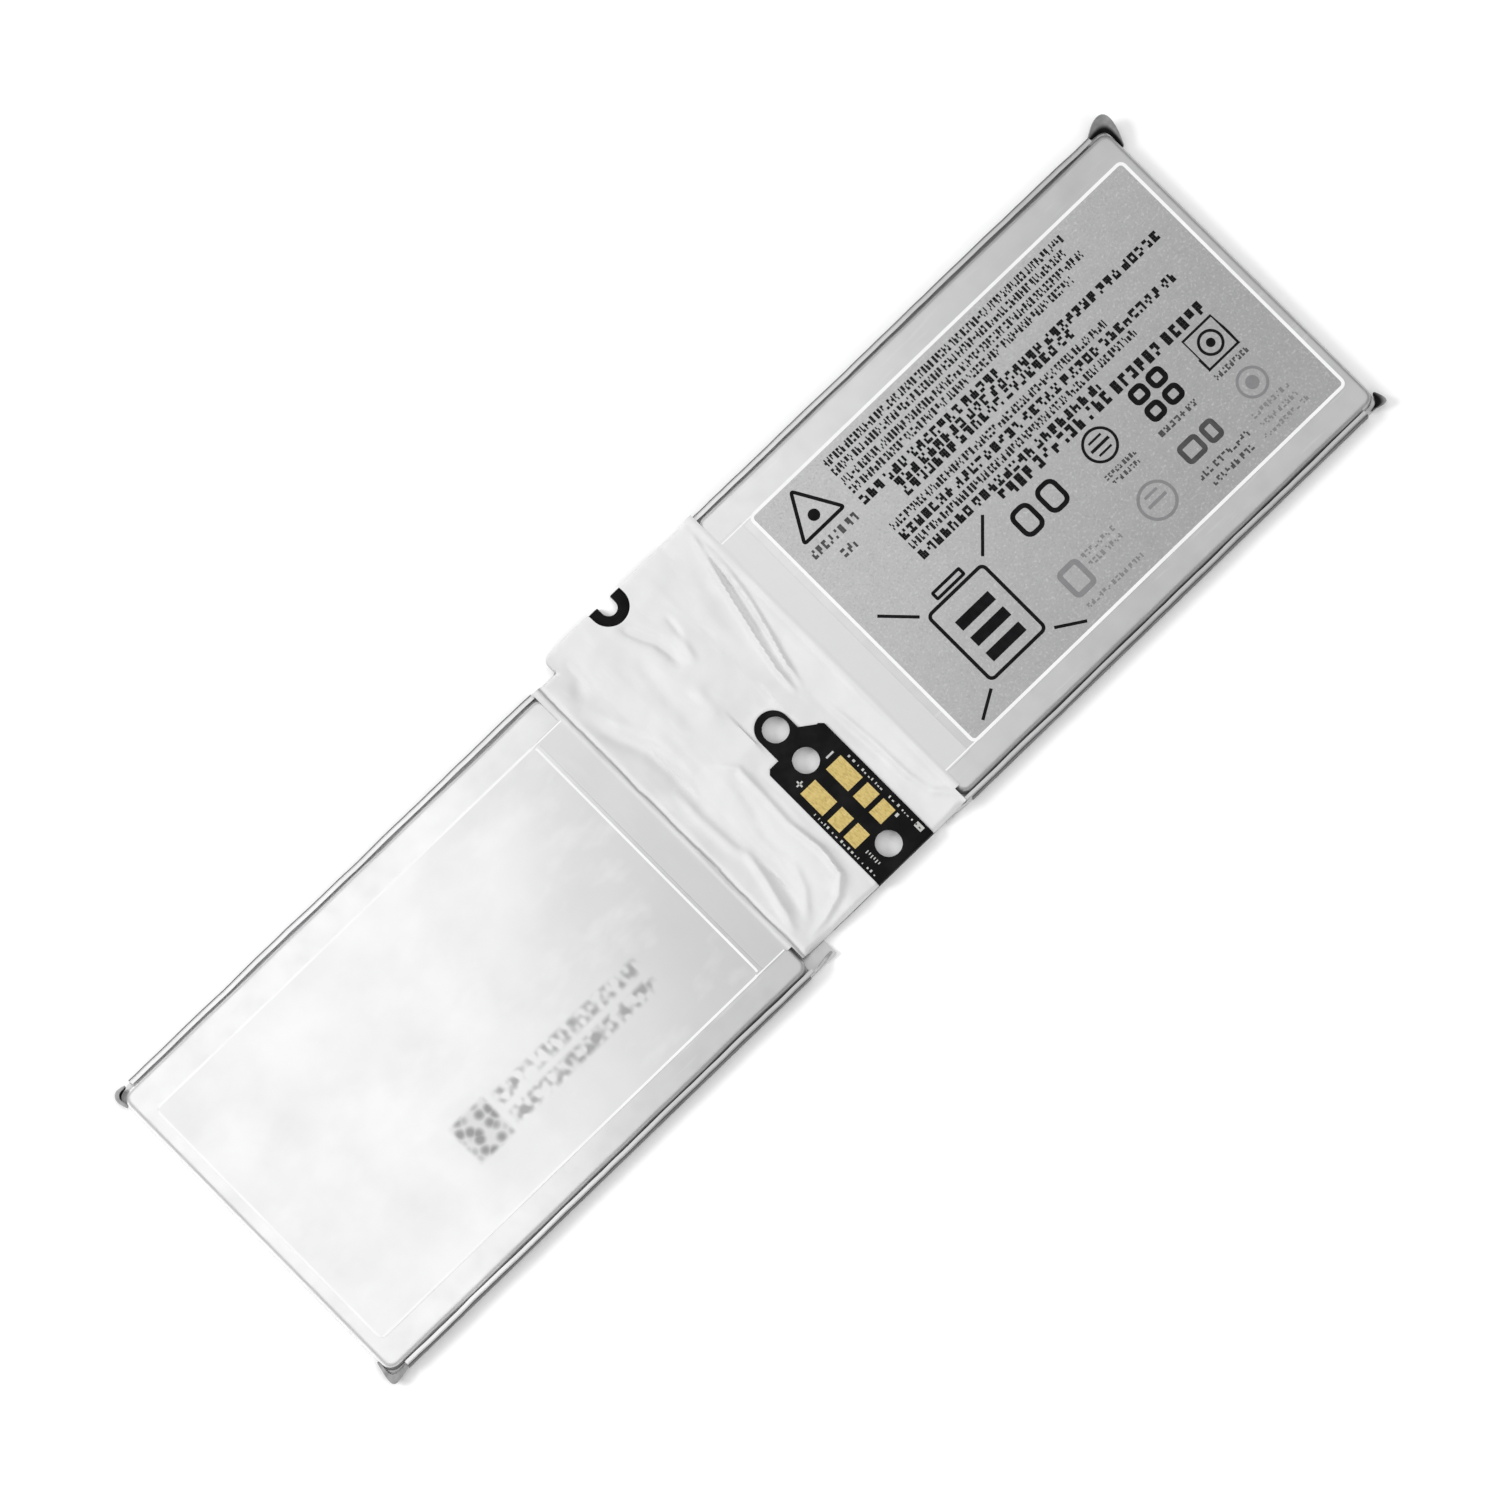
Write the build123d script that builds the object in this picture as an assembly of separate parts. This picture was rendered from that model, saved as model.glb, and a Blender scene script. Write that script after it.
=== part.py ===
from build123d import *
import os

# A tablet computer's battery pack: two flat pouch cells in series, joined by a film-wrapped
# protection board that carries a rigid contact board.
# Frame: +X runs from the plain cell to the labelled cell, +Y across the cells, +Z towards the
# labelled face. The origin is the centre of the pack's footprint, on the surface it lies on.
# All sizes are in millimetres.

# ---- driving sizes: cells
CELL_LENGTH = 96.0  # body of one cell, without its tab terrace
CELL_WIDTH = 66.0  # over the folded side seams and their tapes
CELL_THICK = 2.7  # over both laminates
CELL_GAP = 38.0  # between the two cell bodies
CELL_SHIFT = 2.7  # the labelled cell sits this much further along +Y
LAMINATE = 0.12  # aluminium laminate of the pouch
SHOULDER = 1.1  # rounding of the formed cup's top edges
SEAM_SPACE = 0.8  # between the cup's wall and its folded-up seam
SEAM_HEIGHT = 2.1  # top of the folded-up seam
SEAM_END = 3.0  # the folded-up seam stops this far before the cell's outer end
TAPE = 0.06  # seam tapes, face film, label and film flaps
TERRACE = 5.0  # length of the flat seal that the tabs leave through
TERRACE_LIFT = 0.12  # the terrace steps up by this to let the film pass under it
EAR_REACH, EAR_SIDE = 1.2, 0.7  # how far the ear stands past the cell's end and its side

# ---- driving sizes: electrode stack
STACK_START, STACK_END = 4.0, 94.5
STACK_HALF_WIDTH = 31.0
STACK_FLOOR = 0.17
CATHODE, ANODE, SEPARATOR = 0.20, 0.17, 0.08  # thickness of one coated sheet
CATHODE_COUNT = 4
STACK_TAPE = 0.05

# ---- driving sizes: tabs, links and hinge line
TAB_WIDTH, TAB_THICK = 8.0, 0.1
TAB_OFFSET = 14.0  # of each tab from the cell's middle
SEALANT = 0.05  # on each side of a tab
SEALANT_SIDE = 1.0  # how far the sealant stands past the tab's edges
HINGE_X = 12.6  # the tabs flex along this line on each side of the board
HINGE_GAP = 0.05  # half the gap between a tab's end and its link, at the weld
LINK_WIDTH, LINK_INNER_X = 6.0, 8.8

# ---- driving sizes: centre section
BOARD_HALF_X = 11.6
FRONT_Y, BACK_Y = -31.25, 34.75  # edges of the film
BOARD_BACK_Y = 34.55
FILM, LOWER_FILM = 0.06, 0.1
BOARD_THICK = 0.8
BOARD_TOP = LOWER_FILM + BOARD_THICK
FILM_Z = 1.6  # underside of the film's raised middle
FILM_HALF_X = 12.45
LOWER_FILM_HALF_X = 12.4
WING_START_X = 12.75  # the film's wings start here, past the hinge line
FLAP_END_X = 24.9  # the wings' flaps end here, on the cells' faces
STEP_X, STEP_Y = 14.4, 31.45  # step in the film's back edge beside the plain cell
SLOT_X, SLOT_WIDTH, SLOT_END_Y = -0.4, 3.0, 31.85  # notch in the board's back edge
SLOT_RING = 2.0  # bare board that shows around the notch

# ---- driving sizes: contact board
CONTACT_X0, CONTACT_X1 = -1.2, 11.3
CONTACT_BACK_Y = -4.85
CONTACT_Z0, CONTACT_THICK = 1.15, 0.8
CONTACT_TOP = CONTACT_Z0 + CONTACT_THICK
LUG_RADIUS, LUG_X, LUG_Y = 3.1, 4.6, -0.35
HOLE_RADIUS, HOLE_X = 2.3, 4.8
HOLE_YS = (-0.75, -7.9, -27.35)
HOLE_MARGIN = 0.5  # the layers under the contact board clear its holes by this
PAD_XS = (1.85, 7.75)
PAD_WIDTH, PAD_THICK = 3.4, 0.05
PADS = ((-13.9, 5.2), (-19.05, 2.8), (-22.8, 2.8))  # middle and length along Y

# ---- face film of the plain cell and label of the other, each (start, end, front, back)
FACE_FILM = (25.5, 112.4, -28.3, 25.2)
LABEL = (26.3, 113.2, -25.55, 27.85)
LABEL_CORNER = 1.2
LEFT_FLAP_Y = (-28.3, 25.2)
RIGHT_FLAP_Y = (-25.7, 28.1)


def block(x0, x1, y0, y1, z0, z1):
    """A box between two opposite corners."""
    middle = Pos((x0 + x1) / 2, (y0 + y1) / 2, (z0 + z1) / 2)
    return middle * Box(abs(x1 - x0), abs(y1 - y0), z1 - z0)


def post(x, y, radius, z0, z1):
    """An upright cylinder."""
    return Pos(x, y, (z0 + z1) / 2) * Cylinder(radius, z1 - z0)


def prism_xz(points, y0, y1):
    """A side profile, given as (x, z) points, extruded across the part."""
    outline = Polyline([(x, y0, z) for x, z in points], close=True)
    return extrude(make_face(outline), amount=y1 - y0, dir=(0, 1, 0))


def prism_xy(points, z0, z1):
    """A plan outline, given as (x, y) points, extruded upwards."""
    outline = Polyline([(x, y, z0) for x, y in points], close=True)
    return extrude(make_face(outline), amount=z1 - z0, dir=(0, 0, 1))


def rounded_plate(x0, x1, y0, y1, z0, z1, corner):
    plate = block(x0, x1, y0, y1, z0, z1)
    return fillet(plate.edges().filter_by(Axis.Z), corner)


# ---------------------------------------------------------------------------------------------
# One cell, in its own frame: x from the tab end outwards, y across, z up. The second cell is the
# same one turned half a turn about Z.
# ---------------------------------------------------------------------------------------------
SEAM_OUT = CELL_WIDTH / 2 - TAPE  # outer face of the folded-up seam
CUP_HALF = SEAM_OUT - 2 * LAMINATE - SEAM_SPACE
TERRACE_Z = LAMINATE + TERRACE_LIFT  # where the two laminates meet on the terrace
TAB_Z = TERRACE_Z + SEALANT  # underside of a tab
SEAL_TOP = TAB_Z + TAB_THICK + SEALANT
TAB_YS = {"positive": TAB_OFFSET, "negative": -TAB_OFFSET}
FOIL_TOP = 0.75  # the collector foils are pressed down to this height above a tab


def formed_block(inset, z0):
    """The cup's formed shape, with rounded corners and shoulders, drawn in by an inset."""
    half = CUP_HALF - inset
    body = block(inset, CELL_LENGTH - inset, -half, half, z0, CELL_THICK - inset)
    body = fillet(body.edges().filter_by(Axis.Z), SHOULDER + LAMINATE - inset)
    return fillet(body.faces().sort_by(Axis.Z)[-1].edges(), SHOULDER - inset)


def ears():
    """The corner tips left by the folded end: a large one behind and a small one in front."""
    end, side = CELL_LENGTH, CELL_WIDTH / 2
    large = [
        (end - 2.6, side - 0.3),
        (end - 0.4, side + EAR_SIDE),
        (end + EAR_REACH, side + EAR_SIDE - 0.4),
        (end + 0.3, side - 3.4),
        (end - 0.6, side - 3.6),
    ]
    small = [
        (end - 1.6, 0.4 - side),
        (end + EAR_REACH, -side),
        (end + 0.2, 1.8 - side),
        (end - 0.8, 2.6 - side),
    ]
    return prism_xy(large, 0.4, 1.5), prism_xy(small, 0.4, 1.2)


def pouch_cup():
    """The formed laminate over the stack, with its terrace and folded-up side seams."""
    cup = formed_block(0, LAMINATE)
    cup += block(-TERRACE, LAMINATE / 2, -SEAM_OUT, SEAM_OUT, TERRACE_Z, TERRACE_Z + LAMINATE)
    rise_end = CELL_LENGTH - SEAM_END
    outer = SEAM_OUT - LAMINATE
    for side in (-1, 1):
        cup += block(0, rise_end, side * (CUP_HALF - LAMINATE), side * outer, LAMINATE, 2 * LAMINATE)
        cup += block(0, rise_end, side * (outer - LAMINATE), side * outer, LAMINATE, SEAM_HEIGHT)
    for ear in ears():
        cup += ear
    for y in TAB_YS.values():
        half = TAB_WIDTH / 2 + SEALANT_SIDE
        wall = half + LAMINATE
        cup += block(-TERRACE, LAMINATE / 2, y - wall, y + wall, TERRACE_Z, SEAL_TOP + LAMINATE)
        cup -= block(-TERRACE, LAMINATE, y - half, y + half, TERRACE_Z, SEAL_TOP)
    return cup - formed_block(LAMINATE, LAMINATE)


def pouch_cover():
    """The flat laminate under the stack, stepped up at the terrace and folded up at its sides."""
    cover = block(0, CELL_LENGTH, -SEAM_OUT, SEAM_OUT, 0, LAMINATE)
    cover += block(-LAMINATE, 0, -SEAM_OUT, SEAM_OUT, 0, TERRACE_Z)
    cover += block(-TERRACE, -LAMINATE, -SEAM_OUT, SEAM_OUT, TERRACE_Z - LAMINATE, TERRACE_Z)
    for side in (-1, 1):
        inner = side * (SEAM_OUT - LAMINATE)
        cover += block(0, CELL_LENGTH - SEAM_END, inner, side * SEAM_OUT, 0, SEAM_HEIGHT)
    return cover


def seam_tapes():
    """One tape along the outside of each folded-up seam."""
    return [
        block(1, CELL_LENGTH - SEAM_END, side * SEAM_OUT, side * (SEAM_OUT + TAPE), 0.15, SEAM_HEIGHT)
        for side in (-1, 1)
    ]


def electrode_stack():
    """Coated sheets from the bottom up: anode, separator, cathode, separator, anode and so on."""
    sheets = {"anode_sheets": [], "cathode_sheets": [], "separator_sheets": []}
    order = ["anode_sheets", "separator_sheets", "cathode_sheets", "separator_sheets"]
    thickness = {"anode_sheets": ANODE, "cathode_sheets": CATHODE, "separator_sheets": SEPARATOR}
    inset = {"anode_sheets": 0.4, "cathode_sheets": 1.0, "separator_sheets": 0.0}
    z = STACK_FLOOR
    for kind in order * CATHODE_COUNT + order[:1]:
        side = STACK_HALF_WIDTH - inset[kind]
        end = STACK_END - inset[kind]
        sheets[kind].append(block(STACK_START, end, -side, side, z, z + thickness[kind]))
        z += thickness[kind]
    return sheets, z


def stack_tape(top):
    """Short tapes that hold the sheets together around the stack's long edges."""
    clips = []
    for x in (18, 49, 80):
        for side in (-1, 1):
            inner, edge = side * (STACK_HALF_WIDTH - 6), side * (STACK_HALF_WIDTH + STACK_TAPE)
            clip = block(x - 4, x + 4, inner, edge, STACK_FLOOR - STACK_TAPE, top + STACK_TAPE)
            clips.append(clip - block(x - 5, x + 5, inner, side * STACK_HALF_WIDTH, STACK_FLOOR, top))
    return clips


def tab(y):
    """A tab: flat through the terrace, then up to the level of the board's top."""
    end, rise, flat = HINGE_X + HINGE_GAP - CELL_GAP / 2, -6.1, -5.3
    top = TAB_Z + TAB_THICK
    link_top = BOARD_TOP + TAB_THICK
    side = [
        (2.5, TAB_Z),
        (2.5, top),
        (flat + 0.04, top),
        (rise + 0.04, link_top),
        (end, link_top),
        (end, BOARD_TOP),
        (rise - 0.04, BOARD_TOP),
        (flat - 0.04, TAB_Z),
    ]
    return prism_xz(side, y - TAB_WIDTH / 2, y + TAB_WIDTH / 2)


def tab_seal(y):
    """The sealant strip around a tab, gripped between the two laminates."""
    half = TAB_WIDTH / 2
    wide = half + SEALANT_SIDE
    strip = block(-TERRACE - 0.1, 0.4, y - wide, y + wide, TERRACE_Z, SEAL_TOP)
    return strip - block(-TERRACE - 1, 1, y - half, y + half, TAB_Z, TAB_Z + TAB_THICK)


def collector_foils(y, top):
    """Bare foils gathered from the stack's end and pressed down onto a tab."""
    tab_top = TAB_Z + TAB_THICK
    side = [
        (STACK_START, STACK_FLOOR),
        (STACK_START, top),
        (2.4, FOIL_TOP),
        (0.9, FOIL_TOP - 0.15),
        (0.9, tab_top),
        (2.5, tab_top),
        (2.5, STACK_FLOOR),
    ]
    return prism_xz(side, y - TAB_WIDTH / 2 + 0.5, y + TAB_WIDTH / 2 - 0.5)


def cell_nodes():
    """Every node of one cell, in the cell's own frame."""
    sheets, top = electrode_stack()
    nodes = {"pouch_cup": pouch_cup(), "pouch_cover": pouch_cover(), "seam_tapes": seam_tapes()}
    nodes.update(sheets)
    nodes["stack_tape"] = stack_tape(top)
    for pole, y in TAB_YS.items():
        nodes[f"{pole}_tab"] = tab(y)
        nodes[f"{pole}_tab_seal"] = tab_seal(y)
        nodes[f"{pole}_foils"] = collector_foils(y, top)
    return nodes


SEATS = {
    "left": Pos(-CELL_GAP / 2, -CELL_SHIFT / 2, 0) * Rot(0, 0, 180),
    "right": Pos(CELL_GAP / 2, CELL_SHIFT / 2, 0),
}


# ---------------------------------------------------------------------------------------------
# Centre section, in the pack's frame
# ---------------------------------------------------------------------------------------------
def slot(width, end_y, z0, z1):
    """A notch with a round end, open towards the back edge."""
    half = width / 2
    channel = block(SLOT_X - half, SLOT_X + half, end_y + half, BACK_Y + 1, z0, z1)
    return channel + post(SLOT_X, end_y + half, half, z0, z1)


def contact_outline(z0, z1, grow=0.0):
    """The contact board's outline: a body with a lug, a notch beside it and a slanted shoulder."""
    x0, x1, back = CONTACT_X0 - grow, CONTACT_X1 + grow, CONTACT_BACK_Y + grow
    left, right = LUG_X - LUG_RADIUS - grow, LUG_X + LUG_RADIUS + grow
    outline = [
        (x0, FRONT_Y),
        (x1, FRONT_Y),
        (x1, back - 0.75),
        (right, -3.0),
        (right, LUG_Y),
        (left, LUG_Y),
        (left, back),
        (x0 + 0.75, back),
        (x0, back - 0.75),
    ]
    return prism_xy(outline, z0, z1) + post(LUG_X, LUG_Y, LUG_RADIUS + grow, z0, z1)


def contact_holes(radius, z0, z1):
    return [post(HOLE_X, y, radius, z0, z1) for y in HOLE_YS]


def contact_board():
    return contact_outline(CONTACT_Z0, CONTACT_TOP) - contact_holes(HOLE_RADIUS, 0, 3)


def contact_pads():
    half = PAD_WIDTH / 2
    return [
        block(x - half, x + half, y - length / 2, y + length / 2, CONTACT_TOP, CONTACT_TOP + PAD_THICK)
        for x in PAD_XS
        for y, length in PADS
    ]


def board_posts():
    """Solder posts that carry the contact board and its currents down to the main board."""
    spots = [(x, y) for x in (0.1, 9.5) for y in (-7.2, -18.0, -23.5, -29.8)]
    return [post(x, y, 0.45, BOARD_TOP, CONTACT_Z0) for x, y in spots]


def main_board():
    board = block(-BOARD_HALF_X, BOARD_HALF_X, FRONT_Y, BOARD_BACK_Y, LOWER_FILM, BOARD_TOP)
    board -= slot(SLOT_WIDTH, SLOT_END_Y, 0, 2)
    return board - contact_holes(HOLE_RADIUS + HOLE_MARGIN, 0, 2)


def lower_film():
    film = block(-LOWER_FILM_HALF_X, LOWER_FILM_HALF_X, FRONT_Y, BACK_Y, 0, LOWER_FILM)
    film -= slot(SLOT_WIDTH + 0.6, SLOT_END_Y - 0.3, -1, 1)
    return film - contact_holes(HOLE_RADIUS + HOLE_MARGIN, -1, 1)


def upper_film():
    """The film over the board, open around the contact board and around the notch."""
    film = block(-FILM_HALF_X, FILM_HALF_X, FRONT_Y, BACK_Y, FILM_Z, FILM_Z + FILM)
    film -= slot(SLOT_WIDTH + 2 * SLOT_RING, SLOT_END_Y - SLOT_RING, 1, 3)
    return film - contact_outline(1, 3, grow=0.05)


def lower_film_wing(side):
    """The film under a cell's terrace, from the hinge line to the cell's body."""
    back = STEP_Y if side < 0 else BACK_Y - 0.5
    return block(side * WING_START_X, side * (CELL_GAP / 2 - 0.3), FRONT_Y, back, 0, LOWER_FILM)


def upper_film_wing(side):
    """The film from the hinge line up to a cell's face, with the flap that is stuck to it."""
    flap = LEFT_FLAP_Y if side < 0 else RIGHT_FLAP_Y
    crest = CELL_GAP / 2 + 0.9
    slope = [(WING_START_X, FILM_Z), (crest, CELL_THICK)]
    profile = slope + [(x, z + FILM) for x, z in reversed(slope)]
    wing = prism_xz([(side * x, z) for x, z in profile], FRONT_Y, BACK_Y)
    if side < 0:
        wing -= block(-CELL_GAP, -STEP_X, STEP_Y, BACK_Y + 1, 0, CELL_THICK + 1)
    wing += block(side * crest, side * FLAP_END_X, flap[0], flap[1], CELL_THICK, CELL_THICK + FILM)
    return wing


def links():
    """Nickel links on the board, one for each tab, named after the cell and the pole."""
    nodes = {}
    half = LINK_WIDTH / 2
    for name, side in (("left", -1), ("right", 1)):
        for pole, offset in TAB_YS.items():
            y = side * (offset + CELL_SHIFT / 2)
            end = side * (HINGE_X - HINGE_GAP)
            link = block(side * LINK_INNER_X, end, y - half, y + half, BOARD_TOP, BOARD_TOP + TAB_THICK)
            nodes[f"{name}_{pole}_link"] = link
    return nodes


def on_board(x, y, length, width, height):
    """A chip's body, standing on the main board."""
    return Pos(x, y, BOARD_TOP + height / 2) * Box(length, width, height)


def electronics():
    return {
        "fuel_gauge_chip": on_board(-3.5, 6.5, 3.0, 3.0, 0.55),
        "protection_mosfets": [on_board(x, 22.0, 3.3, 3.3, 0.6) for x in (-5.0, 1.0)],
        "sense_resistor": on_board(-3.5, 1.0, 3.2, 1.6, 0.5),
        "fuse": on_board(5.5, 26.0, 3.2, 1.6, 0.6),
        "thermistor": on_board(-9.8, -1.5, 1.0, 0.5, 0.4),
        "chip_capacitors": [
            on_board(x, y, 1.0, 0.5, 0.5) for x in (-6.5, 0.2) for y in (4.5, 6.5, 8.5, 10.5)
        ],
    }


def centre_nodes():
    nodes = {
        "main_board": main_board(),
        "contact_board": contact_board(),
        "contact_pads": contact_pads(),
        "board_posts": board_posts(),
        "lower_film": lower_film(),
        "upper_film": upper_film(),
    }
    for name, side in (("left", -1), ("right", 1)):
        nodes[f"lower_film_{name}_wing"] = lower_film_wing(side)
        nodes[f"upper_film_{name}_wing"] = upper_film_wing(side)
    nodes.update(links())
    nodes.update(electronics())
    return nodes


def faces():
    """The plain cell's face film and the other cell's label."""
    start, end, front, back = FACE_FILM
    film = rounded_plate(-end, -start, front, back, CELL_THICK, CELL_THICK + TAPE, LABEL_CORNER)
    start, end, front, back = LABEL
    label = rounded_plate(start, end, front, back, CELL_THICK, CELL_THICK + TAPE, LABEL_CORNER)
    return {"left_face_film": film, "right_label": label}


def placed(seat, node):
    return [seat * solid for solid in node] if isinstance(node, list) else seat * node


def main():
    os.makedirs("parts", exist_ok=True)
    nodes = centre_nodes()
    nodes.update(faces())
    for side, seat in SEATS.items():
        for name, node in cell_nodes().items():
            nodes[f"{side}_{name}"] = placed(seat, node)
    for name, node in nodes.items():
        shape = Compound(node) if isinstance(node, list) else node
        export_step(shape, f"parts/{name}.step")
    print(len(nodes), "nodes")


main()
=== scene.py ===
import math
import random

import bmesh
import bpy
import numpy as np
from mathutils import Matrix, Quaternion, Vector, noise


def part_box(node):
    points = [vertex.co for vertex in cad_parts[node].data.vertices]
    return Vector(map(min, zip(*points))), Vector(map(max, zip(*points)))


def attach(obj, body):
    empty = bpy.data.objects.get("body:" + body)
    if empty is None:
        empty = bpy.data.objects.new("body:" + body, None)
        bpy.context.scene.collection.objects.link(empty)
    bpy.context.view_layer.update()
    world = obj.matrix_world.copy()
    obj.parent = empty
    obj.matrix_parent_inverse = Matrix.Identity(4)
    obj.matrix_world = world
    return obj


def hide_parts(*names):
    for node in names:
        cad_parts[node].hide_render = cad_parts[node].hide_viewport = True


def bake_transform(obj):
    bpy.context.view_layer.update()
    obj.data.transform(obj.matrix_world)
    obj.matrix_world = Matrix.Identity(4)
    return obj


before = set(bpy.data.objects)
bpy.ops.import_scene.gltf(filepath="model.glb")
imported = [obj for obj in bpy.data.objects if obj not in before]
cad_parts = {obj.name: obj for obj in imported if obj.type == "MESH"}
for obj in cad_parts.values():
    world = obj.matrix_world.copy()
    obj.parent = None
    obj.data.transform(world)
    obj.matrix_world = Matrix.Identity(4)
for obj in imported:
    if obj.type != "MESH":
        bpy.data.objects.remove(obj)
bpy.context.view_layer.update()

# A tablet computer's battery pack: two flat pouch cells joined by a film-wrapped board.
# Sizes in this file are millimetres unless they go straight to Blender; MM turns them to metres.
# +X runs from the plain cell to the labelled cell, +Y across, +Z up.
MM = 0.001
ROUND_SIDES = 48


def edges_of(node):
    """A CAD node's box in millimetres: x0, x1, y0, y1, z0, z1."""
    low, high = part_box(node)
    return low.x / MM, high.x / MM, low.y / MM, high.y / MM, low.z / MM, high.z / MM


# ---------------------------------------------------------------------------------------------
# Working by hand: start a piece, pick parts of it, shape it, settle it
# ---------------------------------------------------------------------------------------------
def only(piece):
    bpy.ops.object.select_all(action="DESELECT")
    piece.select_set(True)
    bpy.context.view_layer.objects.active = piece
    return piece


def settle(piece):
    """Puts the piece's place into its mesh."""
    only(piece)
    bpy.ops.object.transform_apply(location=True, rotation=True, scale=True)
    return piece


def named(name):
    piece = bpy.context.object
    piece.name = piece.data.name = name
    return settle(piece)


def block(name, x0, x1, y0, y1, z0, z1):
    bpy.ops.object.select_all(action="DESELECT")
    middle = ((x0 + x1) / 2 * MM, (y0 + y1) / 2 * MM, (z0 + z1) / 2 * MM)
    size = (abs(x1 - x0) * MM, abs(y1 - y0) * MM, (z1 - z0) * MM)
    bpy.ops.mesh.primitive_cube_add(size=1, location=middle)
    bpy.context.object.scale = size
    return named(name)


def grid(name, x0, x1, y0, y1, z, columns, rows):
    """A flat grid of faces, facing up."""
    bpy.ops.object.select_all(action="DESELECT")
    middle = ((x0 + x1) / 2 * MM, (y0 + y1) / 2 * MM, z * MM)
    size = (abs(x1 - x0) * MM, abs(y1 - y0) * MM, 1)
    bpy.ops.mesh.primitive_grid_add(x_subdivisions=columns, y_subdivisions=rows, size=1, location=middle)
    bpy.context.object.scale = size
    return named(name)


def disc(name, x, y, radius, z, sides=ROUND_SIDES):
    bpy.ops.object.select_all(action="DESELECT")
    bpy.ops.mesh.primitive_circle_add(
        vertices=sides, radius=radius * MM, fill_type="NGON", location=(x * MM, y * MM, z * MM)
    )
    return named(name)


def post(name, x, y, radius, z0, z1):
    bpy.ops.object.select_all(action="DESELECT")
    middle = (x * MM, y * MM, (z0 + z1) / 2 * MM)
    bpy.ops.mesh.primitive_cylinder_add(
        vertices=ROUND_SIDES, radius=radius * MM, depth=(z1 - z0) * MM, location=middle
    )
    return named(name)


class at_bench:
    """Edit mode on one piece, with one kind of element picked."""

    def __init__(self, piece):
        self.piece = piece

    def __enter__(self):
        only(self.piece)
        bpy.ops.object.mode_set(mode="EDIT")
        return self

    def __exit__(self, *_):
        bpy.ops.object.mode_set(mode="OBJECT")

    def pick(self, kind, test):
        bpy.ops.mesh.select_mode(type={"verts": "VERT", "edges": "EDGE", "faces": "FACE"}[kind])
        bpy.ops.mesh.select_all(action="DESELECT")
        shape = bmesh.from_edit_mesh(self.piece.data)
        for element in getattr(shape, kind):
            if test(element):
                element.select_set(True)
        shape.select_flush_mode()
        bmesh.update_edit_mesh(self.piece.data)

    def cut(self, axis, places):
        """Straight cuts across the whole piece, each at a place along an axis."""
        for place in places:
            bpy.ops.mesh.select_all(action="SELECT")
            point, normal = [0, 0, 0], [0, 0, 0]
            point[axis], normal[axis] = place * MM, 1
            bpy.ops.mesh.bisect(plane_co=point, plane_no=normal)


def stands(edge, height):
    """Whether an edge rises by more than a height."""
    return abs(edge.verts[0].co.z - edge.verts[1].co.z) > height * MM


def modify(piece, kind, **settings):
    only(piece)
    modifier = piece.modifiers.new(kind.title(), kind)
    for key, value in settings.items():
        setattr(modifier, key, value)
    bpy.ops.object.modifier_apply(modifier=modifier.name)
    return piece


def thicken(piece, thickness, offset=0.0):
    return modify(piece, "SOLIDIFY", thickness=thickness * MM, offset=offset, use_even_offset=True)


def places(piece):
    co = np.empty(len(piece.data.vertices) * 3)
    piece.data.vertices.foreach_get("co", co)
    return co.reshape(-1, 3) / MM


def move_to(piece, co):
    piece.data.vertices.foreach_set("co", (co * MM).ravel())
    piece.data.update()


def smooth(piece, angle=40):
    only(piece)
    bpy.ops.object.shade_smooth_by_angle(angle=math.radians(angle))
    return piece


def join(name, pieces):
    bpy.ops.object.select_all(action="DESELECT")
    for piece in pieces:
        piece.select_set(True)
    bpy.context.view_layer.objects.active = pieces[0]
    if len(pieces) > 1:
        bpy.ops.object.join()
    return named(name)


def steps(start, end, count):
    return [start + (end - start) * i / count for i in range(1, count)]


def wander(values, seed, reach):
    """A smooth random line through values, in -1 to 1, with bumps about as long as the reach."""
    return np.array([noise.noise(Vector((v / reach, seed * 7.31, 0.5))) for v in values])


def pillow(co, seed, reach):
    return np.array([noise.noise(Vector((x / reach, y / reach, seed * 3.7))) for x, y in co[:, :2]])


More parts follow.
